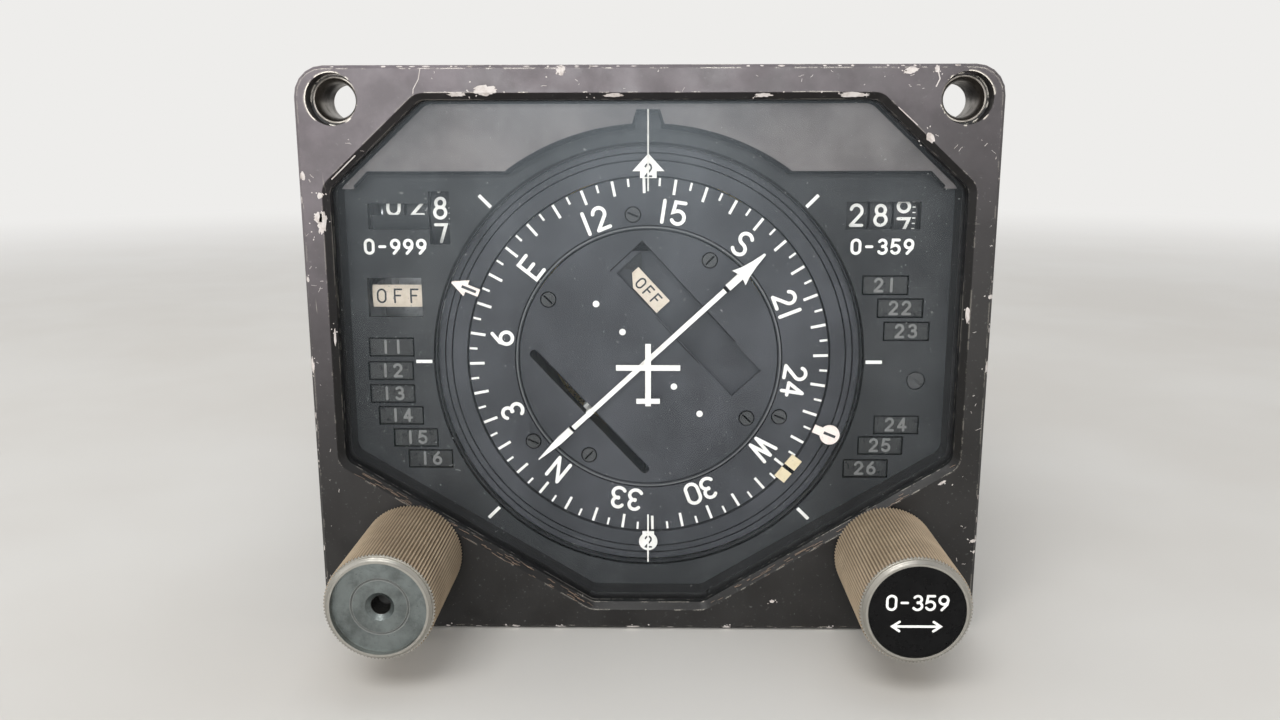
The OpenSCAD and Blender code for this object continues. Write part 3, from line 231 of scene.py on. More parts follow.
def dial_finish(name, dark, light, rough=0.62):
    """Flat instrument black with a fine tooth, faded patches and specks of dust"""
    p = Paint(name, dark)
    fade = p.span(p.noise(16, 4), 0.35, 0.7)
    specks = p.span(p.noise(1.1, 1, 0.4), 0.78, 0.82, 0.0, 0.3)
    p.set("Base Color", p.mix(specks, p.mix(fade, dark, light), rgb(150, 150, 145)))
    p.set("Roughness", p.span(p.noise(3, 3), 0.3, 0.7, rough - 0.06, rough + 0.08))
    p.set("Specular IOR Level", 0.15)
    p.bump(p.noise(1.5, 2), 0.002, 0.3)
    return p.material


def print_finish(name, colour, dull, gloss=0.5):
    """Marking paint, slightly uneven and soiled"""
    p = Paint(name, colour)
    p.set("Specular IOR Level", gloss)
    p.set("Base Color", p.mix(p.span(p.noise(1.6, 4, 0.65), 0.42, 0.75, 0.0, 0.75), colour, dull))
    p.set("Roughness", p.span(p.noise(1.0, 3), 0.3, 0.7, 0.5, 0.68))
    p.bump(p.noise(0.3, 2), 0.01, 0.4)
    return p.material


# Finishes of the record's parts
BARE = rgb(196, 190, 180)     # metal that shows through worn paint
# Places where the bezel's paint is worn most, each [x, y, z, radius]
WORN = [(-36, FRONT, 49, 9), (-60, FRONT, 50, 8), (31, FRONT, 49, 10), (60, FRONT, 51, 7),
        (12, FRONT, 54, 6), (-22, FRONT, 54, 5), (-59, FRONT, 20, 7), (58.5, FRONT, 8, 8),
        (63, FRONT, -12, 6), (-64, FRONT, -4, 5), (-12, FRONT, -49, 7), (38, FRONT, -36, 7),
        (62, FRONT, -46, 8), (-48, FRONT, 40, 6)]
# The bezel's paint has a painted sheen toward its upper left and painted shade on the window's chamfer
bezel_paint = worn_paint("bezel_paint", rgb(18, 16, 15), rgb(27, 25, 24), 0.4, 0.535, 2.2,
                         edge_radius=0.9, spots=WORN, sheen_colours=(rgb(92, 85, 89), rgb(110, 102, 107)))
case_paint = worn_paint("case_paint", rgb(36, 36, 38), rgb(50, 50, 51), 0.6, 0.56, 4.5, 0.6, 0.05)
shroud_paint = dial_finish("shroud_paint", rgb(92, 88, 88), rgb(116, 112, 112), 0.7)
dial_black = dial_finish("dial_black", rgb(56, 58, 62), rgb(70, 72, 77))
mask_black = dial_finish("mask_black", rgb(44, 46, 48), rgb(60, 62, 64), 0.66)
drum_black = dial_finish("drum_black", rgb(46, 47, 49), rgb(60, 61, 63), 0.5)
white_print = print_finish("white_print", rgb(246, 246, 243), rgb(226, 225, 219))
pink_print = print_finish("pink_print", rgb(246, 234, 228), rgb(228, 214, 206))
# Dim grey for print and dust, also for the card's painted highlight ring
dim_print_and_highlight = print_finish("dim_print_and_highlight", rgb(112, 113, 112), rgb(92, 93, 92))
line_black = print_finish("line_black", rgb(5, 5, 6), rgb(9, 10, 11), 0.02)
cream_paint = print_finish("cream_paint", rgb(212, 201, 186), rgb(194, 181, 162))
primer = print_finish("primer", rgb(206, 199, 196), rgb(158, 145, 136))
tan_primer = print_finish("tan_primer", rgb(122, 102, 86), rgb(84, 70, 60))
bug_paint = print_finish("bug_paint", rgb(228, 214, 180), rgb(206, 189, 150))
plated_steel = metal_finish("plated_steel", rgb(138, 133, 127), rgb(86, 81, 76), 0.42)
screw_steel = metal_finish("screw_steel", rgb(176, 173, 168), rgb(126, 120, 112), 0.36, (1, 1, 0.1))
black_screw = dial_finish("black_screw", rgb(60, 61, 62), rgb(74, 75, 76), 0.45)
frame_metal = metal_finish("frame_metal", rgb(182, 183, 185), rgb(150, 150, 150), 0.42, (1, 1, 0.2))
motor_can = metal_finish("motor_can", rgb(150, 148, 143), rgb(112, 108, 100), 0.38, (1, 0.1, 1))
gear_brass = metal_finish("gear_brass", rgb(196, 168, 104), rgb(150, 120, 66), 0.34, (1, 0.1, 1))
thread_metal = metal_finish("thread_metal", rgb(132, 130, 108), rgb(92, 92, 72), 0.4)
connector_metal = worn_paint("connector_metal", rgb(74, 76, 58), rgb(92, 94, 74), 0.45, 0.52, 2.5)


def knob_paint():
    """Khaki paint on the ribs, bare machined metal on the rim and in the recess, and painted shade in the
    centre hole
    """
    p = Paint("knob_paint", rgb(150, 138, 116))
    ribs = p.mix(p.span(p.noise(6, 4), 0.35, 0.7), rgb(186, 166, 140), rgb(202, 182, 155))
    dirt = p.span(p.noise(1.2, 4, 0.7), 0.55, 0.75, 0.0, 0.4)
    ribs = p.mix(dirt, ribs, rgb(92, 82, 68))
    edge = p.product(p.edges(0.22, 0.05, 0.3), p.span(p.noise(2.4, 4, 0.7), 0.45, 0.6, 0.15, 0.75))
    ribs = p.mix(edge, ribs, rgb(188, 180, 160))
    turned = p.mix(p.span(p.noise(5, 5, 0.65), 0.4, 0.7), rgb(116, 122, 121), rgb(88, 92, 91))
    turned = p.mix(p.span(p.noise(0.5, 3, 0.7), 0.62, 0.75, 0.0, 0.5), turned, rgb(60, 58, 54))
    across = p.math("SUBTRACT", p.math("ABSOLUTE", p.axis("X")), KNOB_X * MM)
    up = p.math("SUBTRACT", p.axis("Z"), KNOB_Z * MM)
    radius = p.math("SQRT", p.math("ADD", p.product(across, across), p.product(up, up)))
    # Bands by radius from the knob's axis and by depth from its tip, in millimetres
    depth = p.axis("Y")
    tip = FRONT - KNOB_REACH
    ribs = p.mix(p.span(radius, 9.45 * MM, 9.7 * MM, 0.7, 0.0), ribs, rgb(84, 70, 56))
    rim = p.span(depth, (tip + 1.0) * MM, (tip + 1.15) * MM, 1.0, 0.0)
    recess = p.product(p.span(radius, 8.4 * MM, 8.5 * MM, 1.0, 0.0),
                       p.span(depth, (tip + 8) * MM, (tip + 8.2) * MM, 1.0, 0.0))
    turned = p.mix(p.span(radius, 8.3 * MM, 8.4 * MM), turned, rgb(158, 155, 148))
    face = p.math("MAXIMUM", rim, recess)
    groove = p.product(p.span(radius, 4.7 * MM, 4.8 * MM), p.span(radius, 5.2 * MM, 5.3 * MM, 1.0, 0.0))
    turned = p.mix(groove, turned, rgb(120, 122, 120))
    # Painted shade: the centre hole goes near black
    hole = p.span(radius, 1.75 * MM, 1.8 * MM, 1.0, 0.0)
    colour = p.mix(hole, p.mix(face, ribs, turned), rgb(24, 22, 20))
    p.set("Base Color", colour)
    p.set("Metallic", p.product(p.math("SUBTRACT", face, p.math("MAXIMUM", groove, hole)), 0.9))
    p.set("Roughness", p.blend(face, 0.6, p.span(p.noise(0.4, 3), 0.3, 0.7, 0.28, 0.46)))
    turning = 26000.0  # radians per metre, which puts the tool's marks 0.24 mm apart
    rings = p.math("SINE", p.product(radius, turning))
    p.bump(p.product(rings, face), 0.01, 0.4)
    p.bump(p.noise(0.3, 2), 0.02, 0.4)
    return p.material


def glass_finish():
    """Front glass: a thin film that reflects a little, clear elsewhere, with smears, lint and dust"""
    tint = rgb(212, 222, 230)
    p = Paint("window_glass", tint, 0.1, 1.0)
    dust = p.span(p.noise(0.4, 1, 0.4), 0.76, 0.8)
    lint = p.product(p.span(p.noise(1.8, 2, 0.5, None, 1.5), 0.74, 0.78),
                     p.span(p.noise(18, 2), 0.5, 0.6))
    soil = p.math("MAXIMUM", dust, lint)
    wipes = p.noise(16, 4, 0.6, p.stretched(1, 1, 0.3, 38), 0.6)
    film = p.span(wipes, 0.35, 0.7, 0.012, 0.02)
    p.set("Base Color", p.mix(soil, tint, rgb(206, 208, 206)))
    p.set("Metallic", p.math("SUBTRACT", 1.0, soil))
    p.set("Alpha", p.math("MAXIMUM", film, p.product(soil, 0.4)))
    p.set("Roughness", p.blend(soil, p.span(wipes, 0.35, 0.7, 0.28, 0.36), 0.8))
    return p.material


def rubber(name, colour):
    """Matt rubber with paler patches"""
    p = Paint(name, colour, 0.75)
    paler = tuple(1.6 * c for c in colour[:3]) + (1.0,)
    p.set("Base Color", p.mix(p.span(p.noise(4, 3), 0.35, 0.7), colour, paler))
    p.bump(p.noise(0.3, 2), 0.02, 0.5)
    return p.material


def insert_finish():
    """Red-brown insulator whose contact pins, behind its face, are plated with gold"""
    red = rgb(84, 44, 34)
    p = Paint("insert_rubber", red, 0.7)
    pins = p.span(p.axis("Y"), PINS_Y * MM, (PINS_Y + 0.1) * MM)
    base = p.mix(p.span(p.noise(4, 3), 0.35, 0.7), red, rgb(104, 58, 46))
    gold = p.mix(p.span(p.noise(1.5, 3), 0.4, 0.7), rgb(214, 178, 104), rgb(176, 138, 74))
    p.set("Base Color", p.mix(pins, base, gold))
    p.set("Metallic", pins)
    p.set("Roughness", p.blend(pins, 0.72, 0.3))
    p.bump(p.noise(0.5, 2), 0.01, 0.5)
    return p.material


def lens(name, colour, light, gloss=0.5):
    """Smoked lens with a glossy face and fine scratches"""
    p = Paint(name, colour, 0.3)
    p.set("Specular IOR Level", gloss)
    p.set("Base Color", p.mix(p.span(p.noise(3, 3), 0.35, 0.7), colour, light))
    p.set("Roughness", p.span(p.noise(1.2, 4, 0.7), 0.3, 0.7, 0.24, 0.42))
    p.bump(p.noise(0.4, 2, 0.5, p.stretched(0.15, 1, 1)), 0.006, 0.4)
    return p.material


def board():
    """Lacquered board with a pattern of tracks, and dull components"""
    green = rgb(34, 84, 46)
    p = Paint("board_green", green, 0.35)
    tracks = p.node("ShaderNodeTexBrick")
    p.put(tracks.inputs["Vector"], p.stretched(1, 1, 1))
    tracks.inputs["Scale"].default_value = 90
    p.put(tracks.inputs["Color1"], green)
    p.put(tracks.inputs["Color2"], rgb(44, 100, 54))
    p.put(tracks.inputs["Mortar"], rgb(120, 130, 70))
    plain = p.span(p.noise(8, 3), 0.4, 0.6, 0.2, 0.8)
    p.set("Base Color", p.mix(plain, tracks.outputs["Color"], rgb(36, 82, 48)))
    p.bump(p.noise(1.0, 3), 0.03, 0.5)
    return p.material


knob_khaki = knob_paint()
window_glass = glass_finish()
seal_rubber = rubber("seal_rubber", rgb(24, 24, 25))
insert_rubber = insert_finish()
cap_black = lens("cap_black", rgb(8, 8, 9), rgb(13, 13, 14), 0.12)
lens_grey = lens("lens_grey", rgb(38, 40, 41), rgb(48, 50, 51), 0.3)
lamp_glass = lens("lamp_glass", rgb(214, 204, 180), rgb(232, 224, 204))
board_green = board()

finishes = {
    bezel_paint: ["bezel"],
    plated_steel: ["hole_bushings"],
    seal_rubber: ["window_gasket", "glass_spacer"],
    window_glass: ["front_glass"],
    white_print: ["reference_marks", "course_pointer", "deviation_bar", "bearing_pointer_2"],
    pink_print: ["bearing_pointer_1"],
    shroud_paint: ["light_shroud"],
    lamp_glass: ["dial_lamps", "annunciator_lamps"],
    mask_black: ["mask_plate", "annunciator_blocks", "to_from_flag"],
    black_screw: ["mask_screws", "card_screws", "disc_screws"],
    lens_grey: ["annunciator_lenses"],
    frame_metal: ["front_frame", "rear_frame", "frame_posts", "board_rods", "shaft_brackets"],
    case_paint: ["case_shell", "rear_cover"],
    screw_steel: ["case_screws", "heading_shaft", "course_shaft"],
    connector_metal: ["rear_connectors"],
    insert_rubber: ["connector_inserts"],
    motor_can: ["servo_motors", "course_resolver"],
    board_green: ["circuit_boards"],
    gear_brass: ["knob_bushings", "card_gear", "card_pinion", "heading_idler", "course_gear",
                 "course_idler", "pointer_1_pinion", "pointer_2_pinion"],
    dial_black: ["compass_card", "heading_ring", "course_disc", "pointer_1_ring", "pointer_2_ring"],
    bug_paint: ["heading_bug"],
    knob_khaki: ["heading_knob", "course_knob"],
    cap_black: ["course_knob_cap"],
    cream_paint: ["nav_flag", "off_flag"],
    drum_black: [n for n in nodes if n.endswith("_drum")],
}
for material, names in finishes.items():
    for name in names:
        mesh = nodes[name].data
        mesh.materials.clear()
        mesh.materials.append(material)
undressed = sorted(set(nodes) - {n for names in finishes.values() for n in names})
assert not undressed, undressed


def soften(name, width):
    """Small bevels on a CAD node's sharp edges"""
    node = nodes[name]
    node.modifiers.new("weld", "WELD").merge_threshold = 1e-6
    bevel = node.modifiers.new("bevel", "BEVEL")
    bevel.width = width * MM
    bevel.segments = 2
    bevel.limit_method = "ANGLE"
    bevel.angle_limit = math.radians(35)
    bevel.use_clamp_overlap = True
    bevel.harden_normals = False


# Marks. Each is a thin solid that is drawn flat, at u to the right and v up, and put on a face by a
# function of u, v and the height over that face, all in millimetres

SUNK = -0.02                  # the back of a mark
RAISED, PRINTED = 0.02, 0.04  # the front of a line and of print
CAP_STEPS = 5                 # corners in a stroke's round end
SHARPEST = 0.45               # holds back the outer corner of a stroke's sharp bend
HAIR = 0.004                  # how far each stroke of a word stands above the last


def place(at, y, angle=0.0):
    """Puts marks on a face that looks forward: origin [x, z], depth y, turned clockwise"""
    a = math.radians(angle)
    def put(u, v, lift):
        return Vector(((at[0] + u * math.cos(a) + v * math.sin(a)) * MM, (y - lift) * MM,
                       (at[1] - u * math.sin(a) + v * math.cos(a)) * MM))
    return put


def wrapped(x, y, z, radius, angle=0.0):
    """Puts marks round a drum or curved vane: u along its axis, v up its face, angle above the front"""
    def put(u, v, lift):
        a = math.radians(angle) + v / radius
        r = radius + lift
        return Vector(((x + u) * MM, (y - r * math.cos(a)) * MM, (z + r * math.sin(a)) * MM))
    return put


def skin(bm, rings):
    """Faces between each closed ring of corners and the next"""
    for low, high in zip(rings, rings[1:]):
        for k, corner in enumerate(low):
            m = (k + 1) % len(low)
            bm.faces.new((corner, low[m], high[m], high[k]))


def solid(bm, outline, put, high, low=SUNK):
    """Prism over a flat outline, given anticlockwise seen from the front"""
    rings = [[bm.verts.new(put(u, v, lift)) for u, v in outline] for lift in (low, high)]
    bm.faces.new(rings[1])
    bm.faces.new(rings[0][::-1])
    skin(bm, rings)


def block(bm, half, bottom, top, put, high, low=SUNK):
    """Upright bar of even width"""
    solid(bm, [(-half, bottom), (half, bottom), (half, top), (-half, top)], put, high, low)


def stroke(bm, points, width, put, high=RAISED, low=SUNK, closed=False, step=0.5):
    """A line of even width with round ends, as a thin solid of short strips that can follow a curve"""
    corners = [Vector(q) for q in points] + ([Vector(points[0])] if closed else [])
    pts = []
    for a, b in zip(corners, corners[1:]):
        parts = max(1, math.ceil((b - a).length / step))
        pts += [a.lerp(b, k / parts) for k in range(parts)]
    if not closed:
        pts.append(corners[-1])
    n = len(pts)
    left, right = [], []
    for i in range(n):
        before = pts[i] - pts[i - 1] if (closed or i) else None
        after = pts[(i + 1) % n] - pts[i] if (closed or i < n - 1) else None
        a = (before or after).normalized()
        b = (after or before).normalized()
        normal = Vector((-(a.y + b.y), a.x + b.x))
        normal = normal.normalized() if normal.length > 1e-6 else Vector((-a.y, a.x))
        reach = width / 2 / max(SHARPEST, normal.dot(Vector((-a.y, a.x))))
        left.append(pts[i] + normal * reach)
        right.append(pts[i] - normal * reach)
    def level(line, lift):
        return [bm.verts.new(put(q.x, q.y, lift)) for q in line]
    l0, r0, l1, r1 = level(left, low), level(right, low), level(left, high), level(right, high)
    for i in range(n if closed else n - 1):
        j = (i + 1) % n
        bm.faces.new((r1[i], r1[j], l1[j], l1[i]))
        bm.faces.new((l0[i], l0[j], r0[j], r0[i]))
        bm.faces.new((l1[i], l1[j], l0[j], l0[i]))
        bm.faces.new((r0[i], r0[j], r1[j], r1[i]))
    if closed:
        return
    ends = ((n - 1, (l0, l1), (r0, r1), pts[-1] - pts[-2]), (0, (r0, r1), (l0, l1), pts[0] - pts[1]))
    for end, first, last, ahead in ends:
        start = math.atan2(ahead.x, -ahead.y)
        turn = [start - math.pi * k / (CAP_STEPS + 1) for k in range(1, CAP_STEPS + 1)]
        edge = [pts[end] + (width / 2) * Vector((math.cos(a), math.sin(a))) for a in turn]
        rims = [[first[k][end]] + level(edge, lift) + [last[k][end]] for k, lift in enumerate((low, high))]
        bm.faces.new(rims[1][::-1])
        bm.faces.new(rims[0])
        for i in range(CAP_STEPS + 1):
            bm.faces.new((rims[0][i + 1], rims[0][i], rims[1][i], rims[1][i + 1]))


def arc(cx, cy, rx, ry, start, end, n=10):
    """Points of an elliptical arc, angles anticlockwise from the right, in degrees"""
    return [(cx + rx * math.cos(math.radians(start + (end - start) * i / n)),
             cy + ry * math.sin(math.radians(start + (end - start) * i / n))) for i in range(n + 1)]


def line(*points):
    return list(points), False


def curve(*points):
    return sum(points, []), False


def loop(*arcs):
    return sum(arcs, []), True


# Strokes of each character in a box 0.6 wide and 1 high, with the origin at its middle
GLYPHS = {
    "0": [loop(arc(0, 0.2, 0.3, 0.3, 0, 180), arc(0, -0.2, 0.3, 0.3, 180, 360)[:-1])],
    "1": [line((0, -0.5), (0, 0.5))],
    "2": [curve(arc(0, 0.22, 0.28, 0.28, 165, -35, 12), [(-0.28, -0.5)]), line((-0.28, -0.5), (0.3, -0.5))],
    "3": [curve(arc(0, 0.25, 0.26, 0.25, 150, -90, 11)), curve(arc(0, -0.23, 0.3, 0.27, 90, -150, 13))],
    "4": [line((0.3, -0.22), (-0.3, -0.22)), line((-0.3, -0.22), (0.12, 0.5)),
          line((0.12, 0.5), (0.12, -0.5))],
    "5": [curve([(0.25, 0.5), (-0.2, 0.5), (-0.26, 0.03)], arc(-0.02, -0.19, 0.3, 0.3, 120, -150, 14))],
    "6": [loop(arc(0, -0.2, 0.29, 0.29, 0, 345, 18)), line((-0.28, -0.15), (-0.24, 0.1), (0.12, 0.5))],
    "7": [line((-0.28, 0.5), (0.28, 0.5), (-0.1, -0.5))],
    "8": [loop(arc(0, 0.25, 0.235, 0.235, 0, 345, 16)), loop(arc(0, -0.23, 0.29, 0.27, 0, 345, 18))],
    "9": [loop(arc(0, 0.2, 0.29, 0.29, 0, 345, 18)), line((0.28, 0.15), (0.24, -0.1), (-0.12, -0.5))],
    "N": [line((-0.3, -0.5), (-0.3, 0.5)), line((-0.3, 0.5), (0.3, -0.5)), line((0.3, -0.5), (0.3, 0.5))],
    "E": [line((0.27, 0.5), (-0.27, 0.5), (-0.27, -0.5), (0.27, -0.5)), line((-0.27, 0.02), (0.18, 0.02))],
    "S": [curve(arc(0, 0.25, 0.27, 0.25, 35, 265, 13), arc(0, -0.25, 0.29, 0.25, 85, -145, 13))],
    "W": [line((-0.4, 0.5), (-0.2, -0.5)), line((-0.2, -0.5), (0, 0.5)), line((0, 0.5), (0.2, -0.5)),
          line((0.2, -0.5), (0.4, 0.5))],
    "O": [loop(arc(0, 0.16, 0.31, 0.34, 0, 180), arc(0, -0.16, 0.31, 0.34, 180, 360)[:-1])],
    "F": [line((0.27, 0.5), (-0.25, 0.5), (-0.25, -0.5)), line((-0.25, 0.03), (0.17, 0.03))],
    "-": [line((-0.2, 0), (0.2, 0))],
}


def write(bm, word, put, height, weight, pitch=0.86, low=SUNK, high=PRINTED, squeeze=1.0):
    """A word centred on the origin, each stroke a hair above the last, so that no two faces share a plane"""
    count = 0
    for k, character in enumerate(word):
        shift = (k - (len(word) - 1) / 2) * pitch * height
        for points, closed in GLYPHS[character]:
            stroke(bm, [(shift + u * height * squeeze, v * height) for u, v in points], weight, put,
                   high + HAIR * count, low, closed)
            count += 1


def piece(name, build, material, body):
    """An object from a function that fills a bmesh, riding on a body"""
    bm = bmesh.new()
    build(bm)
    bmesh.ops.recalc_face_normals(bm, faces=bm.faces)
    mesh = bpy.data.meshes.new(name)
    bm.to_mesh(mesh)
    bm.free()
    mesh.materials.append(material)
    made = bpy.data.objects.new(name, mesh)
    bpy.context.scene.collection.objects.link(made)
    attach(made, body)


def circle(r, count=24):
    return [(r * math.cos(a), r * math.sin(a)) for a in (2 * math.pi * k / count for k in range(count))]


def polar(angle, r):
    """Place on the dial at an angle clockwise from the top"""
    a = math.radians(angle)
    return r * math.sin(a), DIAL_Z + r * math.cos(a)


def face_depth(name):
    """The frontmost y of a CAD node, in millimetres"""
    return min(v.co.y for v in nodes[name].data.vertices) / MM


# Depths of the faces that carry marks
CARD_Y, MASK_Y, LENS_Y, NAV_Y = FRONT + 12.4, FRONT + 10.0, FRONT + 10.3, FRONT + 13.3
POINTER_1_Y, POINTER_2_Y, CAP_Y = FRONT + 10.1, FRONT + 10.7, FRONT - KNOB_REACH + 0.2
DIAL = (0, DIAL_Z)
CARD_ANGLE = 8.6              # angle of the card's 150 degree mark, clockwise from the top
CARD_WORDS = ["15", "S", "21", "24", "W", "30", "33", "N", "3", "6", "E", "12"]
TICK_END = 35.95              # radius where the card's ticks end


def card_marks(bm):
    """A tick at each 5 degrees and a word at each 30 degrees"""
    for step in range(72):
        half, inner = (0.27, 33.0) if step % 2 == 0 else (0.21, 34.4)
        block(bm, half, inner, TICK_END, place(DIAL, CARD_Y, CARD_ANGLE + 5 * step), PRINTED)
    for k, word in enumerate(CARD_WORDS):
        angle = CARD_ANGLE + 30 * k
        put = place(polar(angle, 29.6), CARD_Y, angle)
        write(bm, word, put, 4.5 if word in "NESW" else 4.2, 0.7, 0.72 if "1" in word else 0.82)


def mask_marks(bm):
    """Lubber lines round the card, and the range of each counter under its window"""
    for angle in (45, 90, 135, 225, 270, 315):
        block(bm, 0.33, 43.0, 46.2, place(DIAL, MASK_Y, angle), PRINTED)
    for x, word in ((-49.3, "0-999"), (45.3, "0-359")):
        write(bm, word, place((x, 20.8), MASK_Y), 2.6, 0.54, 0.98)


def disc_marks(bm):
    """Scale of dots for the deviation bar"""
    for across in (-15.3, -7.6, 7.6, 15.3):
        solid(bm, circle(0.65), place(polar(COURSE + 90, across), CARD_Y), PRINTED)


piece("card_marks", card_marks, white_print, "compass_card")
piece("mask_marks", mask_marks, white_print, "housing")
piece("disc_dots", disc_marks, white_print, "course_disc")


def pointer_marks(bm):
    """Numeral in the head and tail of the second pointer, dark on white"""
    for angle, r in ((0, 37.4), (180, 38.0)):
        write(bm, "2", place(polar(angle, r), POINTER_2_Y), 2.3, 0.34, squeeze=0.9, high=0.03)


def slit_marks(bm):
    """Slits in the head and tail of the first pointer"""
    for low_end, high_end in ((36.6, 39.6), (-40.6, -38.1)):
        block(bm, 0.28, low_end, high_end, place(DIAL, POINTER_1_Y, POINTER_1), 0.03)


piece("pointer_2_numerals", pointer_marks, dial_black, "pointer_2")
piece("pointer_1_slits", slit_marks, dial_black, "pointer_1")

# Counter drums: ten figures round each, with the shown value turned to the front
DRUM_R, DRUM_W, DRUM_STEP, COUNTER_X, DRUM_Z = 8.4, 4.2, 4.7, 38.4, 26.7
DRUM_Y = FRONT + 20.7
FIGURE_TURN = 36


def drum_angle(figure, shown):
    """Angle above the front of a figure, when shown is the value in the window"""
    return ((figure - shown + 5) % 10 - 5) * FIGURE_TURN


def drum_figures(x, shown):
    def build(bm):
        for figure in range(10):
            put = wrapped(x, DRUM_Y, DRUM_Z, DRUM_R, drum_angle(figure, shown))
            write(bm, str(figure), put, 3.95, 0.62, low=-0.05, squeeze=0.95)
    return build


def drum_ticks(x, shown):
    def build(bm):
        for k in range(50):
            block(bm, 0.3, -0.1, 0.1, wrapped(x, DRUM_Y, DRUM_Z, DRUM_R, drum_angle(k / 5, shown)), PRINTED)
    return build


for side, name, values in ((1, "course", {"hundreds": 2.0, "tens": 8.0, "units": 7.5}),
                           (-1, "miles", {"units": 7.72, "tens": 1.6, "hundreds": 9.6})):
    for index, (drum, shown) in enumerate(values.items()):
        x = side * (COUNTER_X + index * DRUM_STEP + DRUM_W / 2)
        body = name + "_" + drum
        inset = 0.25 if drum == "units" else 0
        piece(body + "_figures", drum_figures(x - inset, shown), white_print, body)
        if drum == "units":
            piece(body + "_ticks", drum_ticks(x + 1.75, shown), white_print, body)


def flag_word(bm):
    """Word of the warning flag, wrapped round its curved vane"""
    write(bm, "OFF", wrapped(-49.85, FRONT + 19.6, 10.8, 7.2), 2.6, 0.36, 1.25, low=-0.05, high=0.03)


def nav_word(bm):
    """Word of the flag that shows in the course disc's window"""
    put = place(polar(COURSE, 9.3), NAV_Y, COURSE)
    def shifted(u, v, lift):
        return put(u - 10.0, v, lift)
    write(bm, "OFF", shifted, 2.1, 0.34, 1.05, high=0.03)


piece("off_flag_word", flag_word, dial_black, "off_flag")
piece("nav_flag_word", nav_word, dial_black, "nav_flag")

# Annunciators: plain numbers in dim grey on the smoked lenses
ANNUNCIATORS = [("11", (-51, 0.9)), ("12", (-51.3, -3.9)), ("13", (-51.2, -8.6)), ("14", (-49.7, -13.1)),
                ("15", (-46.9, -17.7)), ("16", (-44.1, -22.1)), ("21", (46.2, 13.3)), ("22", (49.3, 8.8)),
                ("23", (50.7, 4.2)), ("24", (49.6, -14.8)), ("25", (46.6, -19.1)), ("26", (43.8, -23.9))]


def annunciator_marks(bm):
    for word, at in ANNUNCIATORS:
        write(bm, word, place(at, LENS_Y), 2.4, 0.5, 1.05, high=0.03)


def annunciator_frames(bm):
    """Dark joint line round each lens"""
    w, h = 4.4, 1.8
    for _, at in ANNUNCIATORS:
        stroke(bm, [(-w, -h), (w, -h), (w, h), (-w, h)], 0.3, place(at, MASK_Y), 0.03, closed=True, step=9)


piece("annunciator_marks", annunciator_marks, dim_print_and_highlight, "housing")
piece("annunciator_frames", annunciator_frames, line_black, "housing")


def cap_marks(bm):
    """The range of the counter above a double arrow, on the knob's cap"""
    write(bm, "0-359", place((KNOB_X, KNOB_Z + 1.7), CAP_Y), 2.5, 0.42, 0.88, high=0.03)
    arrow = place((KNOB_X, KNOB_Z - 2.6), CAP_Y)
    stroke(bm, [(-4.0, 0), (4.0, 0)], 0.42, arrow, 0.03)
    for side in (-1, 1):
        stroke(bm, [(side * 2.9, 0.85), (side * 4.1, 0), (side * 2.9, -0.85)], 0.42, arrow, 0.036)


piece("cap_marks", cap_marks, white_print, "course_knob")


def recess_marks(bm):
    """Painted shadow: thin dark lines along the edges of the flag's window, and painted shade in the dark
    corner at its left end
    """
    put = place(DIAL, CARD_Y, COURSE)
    stroke(bm, [(9.0, 15.2), (-18.2, 15.2), (-18.2, 6.6)], 0.2, put, 0.03)
    stroke(bm, [(-5.0, 6.9), (7.4, 6.9)], 0.14, put, 0.034)
    solid(bm, [(-18.2, 12.3), (-15.6, 15.2), (-18.2, 15.2)], put, 0.026)


def joint_rings(angles, at_r, screws):
    """Dark joint lines round the heads of small screws, and their slots"""
    def build(bm):
        for angle in angles:
            stroke(bm, circle(1.5), 0.3, place(polar(angle, at_r), CARD_Y), closed=True, step=9)
            slot = place(polar(angle, at_r), face_depth(screws), angle * 3 + 40)
            stroke(bm, [(-1.0, 0), (1.0, 0)], 0.38, slot)
    return build


def ring_line(r, width, y=CARD_Y):
    def build(bm):
        stroke(bm, circle(r, 180), width, place(DIAL, y), closed=True, step=9)
    return build


piece("recess_marks", recess_marks, line_black, "course_disc")
piece("disc_screw_rings", joint_rings([31.3, 121.3, 211.3, 301.3], 23.3, "disc_screws"),
      line_black, "course_disc")
piece("card_screw_rings", joint_rings([354, 234, 114], 29.0, "card_screws"),
      line_black, "compass_card")
piece("card_inner_line", ring_line(26.75, 0.22), line_black, "compass_card")
# Painted highlight: a thin pale ring along the card's inner edge
piece("card_inner_highlight", ring_line(26.4, 0.12), dim_print_and_highlight, "compass_card")
# Painted shadow: a thick dark ring along the mask's inner edge
piece("mask_edge_shadow", ring_line(42.45, 0.5, MASK_Y), line_black, "housing")


def bar_ends(bm):
    """Dark joints between the deviation bar and the two ends of the course pointer"""
    put = place(DIAL, face_depth("deviation_bar"), COURSE)
    for end in (-21.0, 20.9):
        stroke(bm, [(-0.45, end), (0.45, end)], 0.5, put)


piece("bar_ends", bar_ends, line_black, "deviation_bar")


def bug_gap(bm):
    """Dark gap between the two blocks of the heading bug"""
    block(bm, 0.4, 34.98, 37.55, place(DIAL, face_depth("heading_bug"), BUG), RAISED, -0.05)


piece("bug_gap", bug_gap, line_black, "heading_ring")


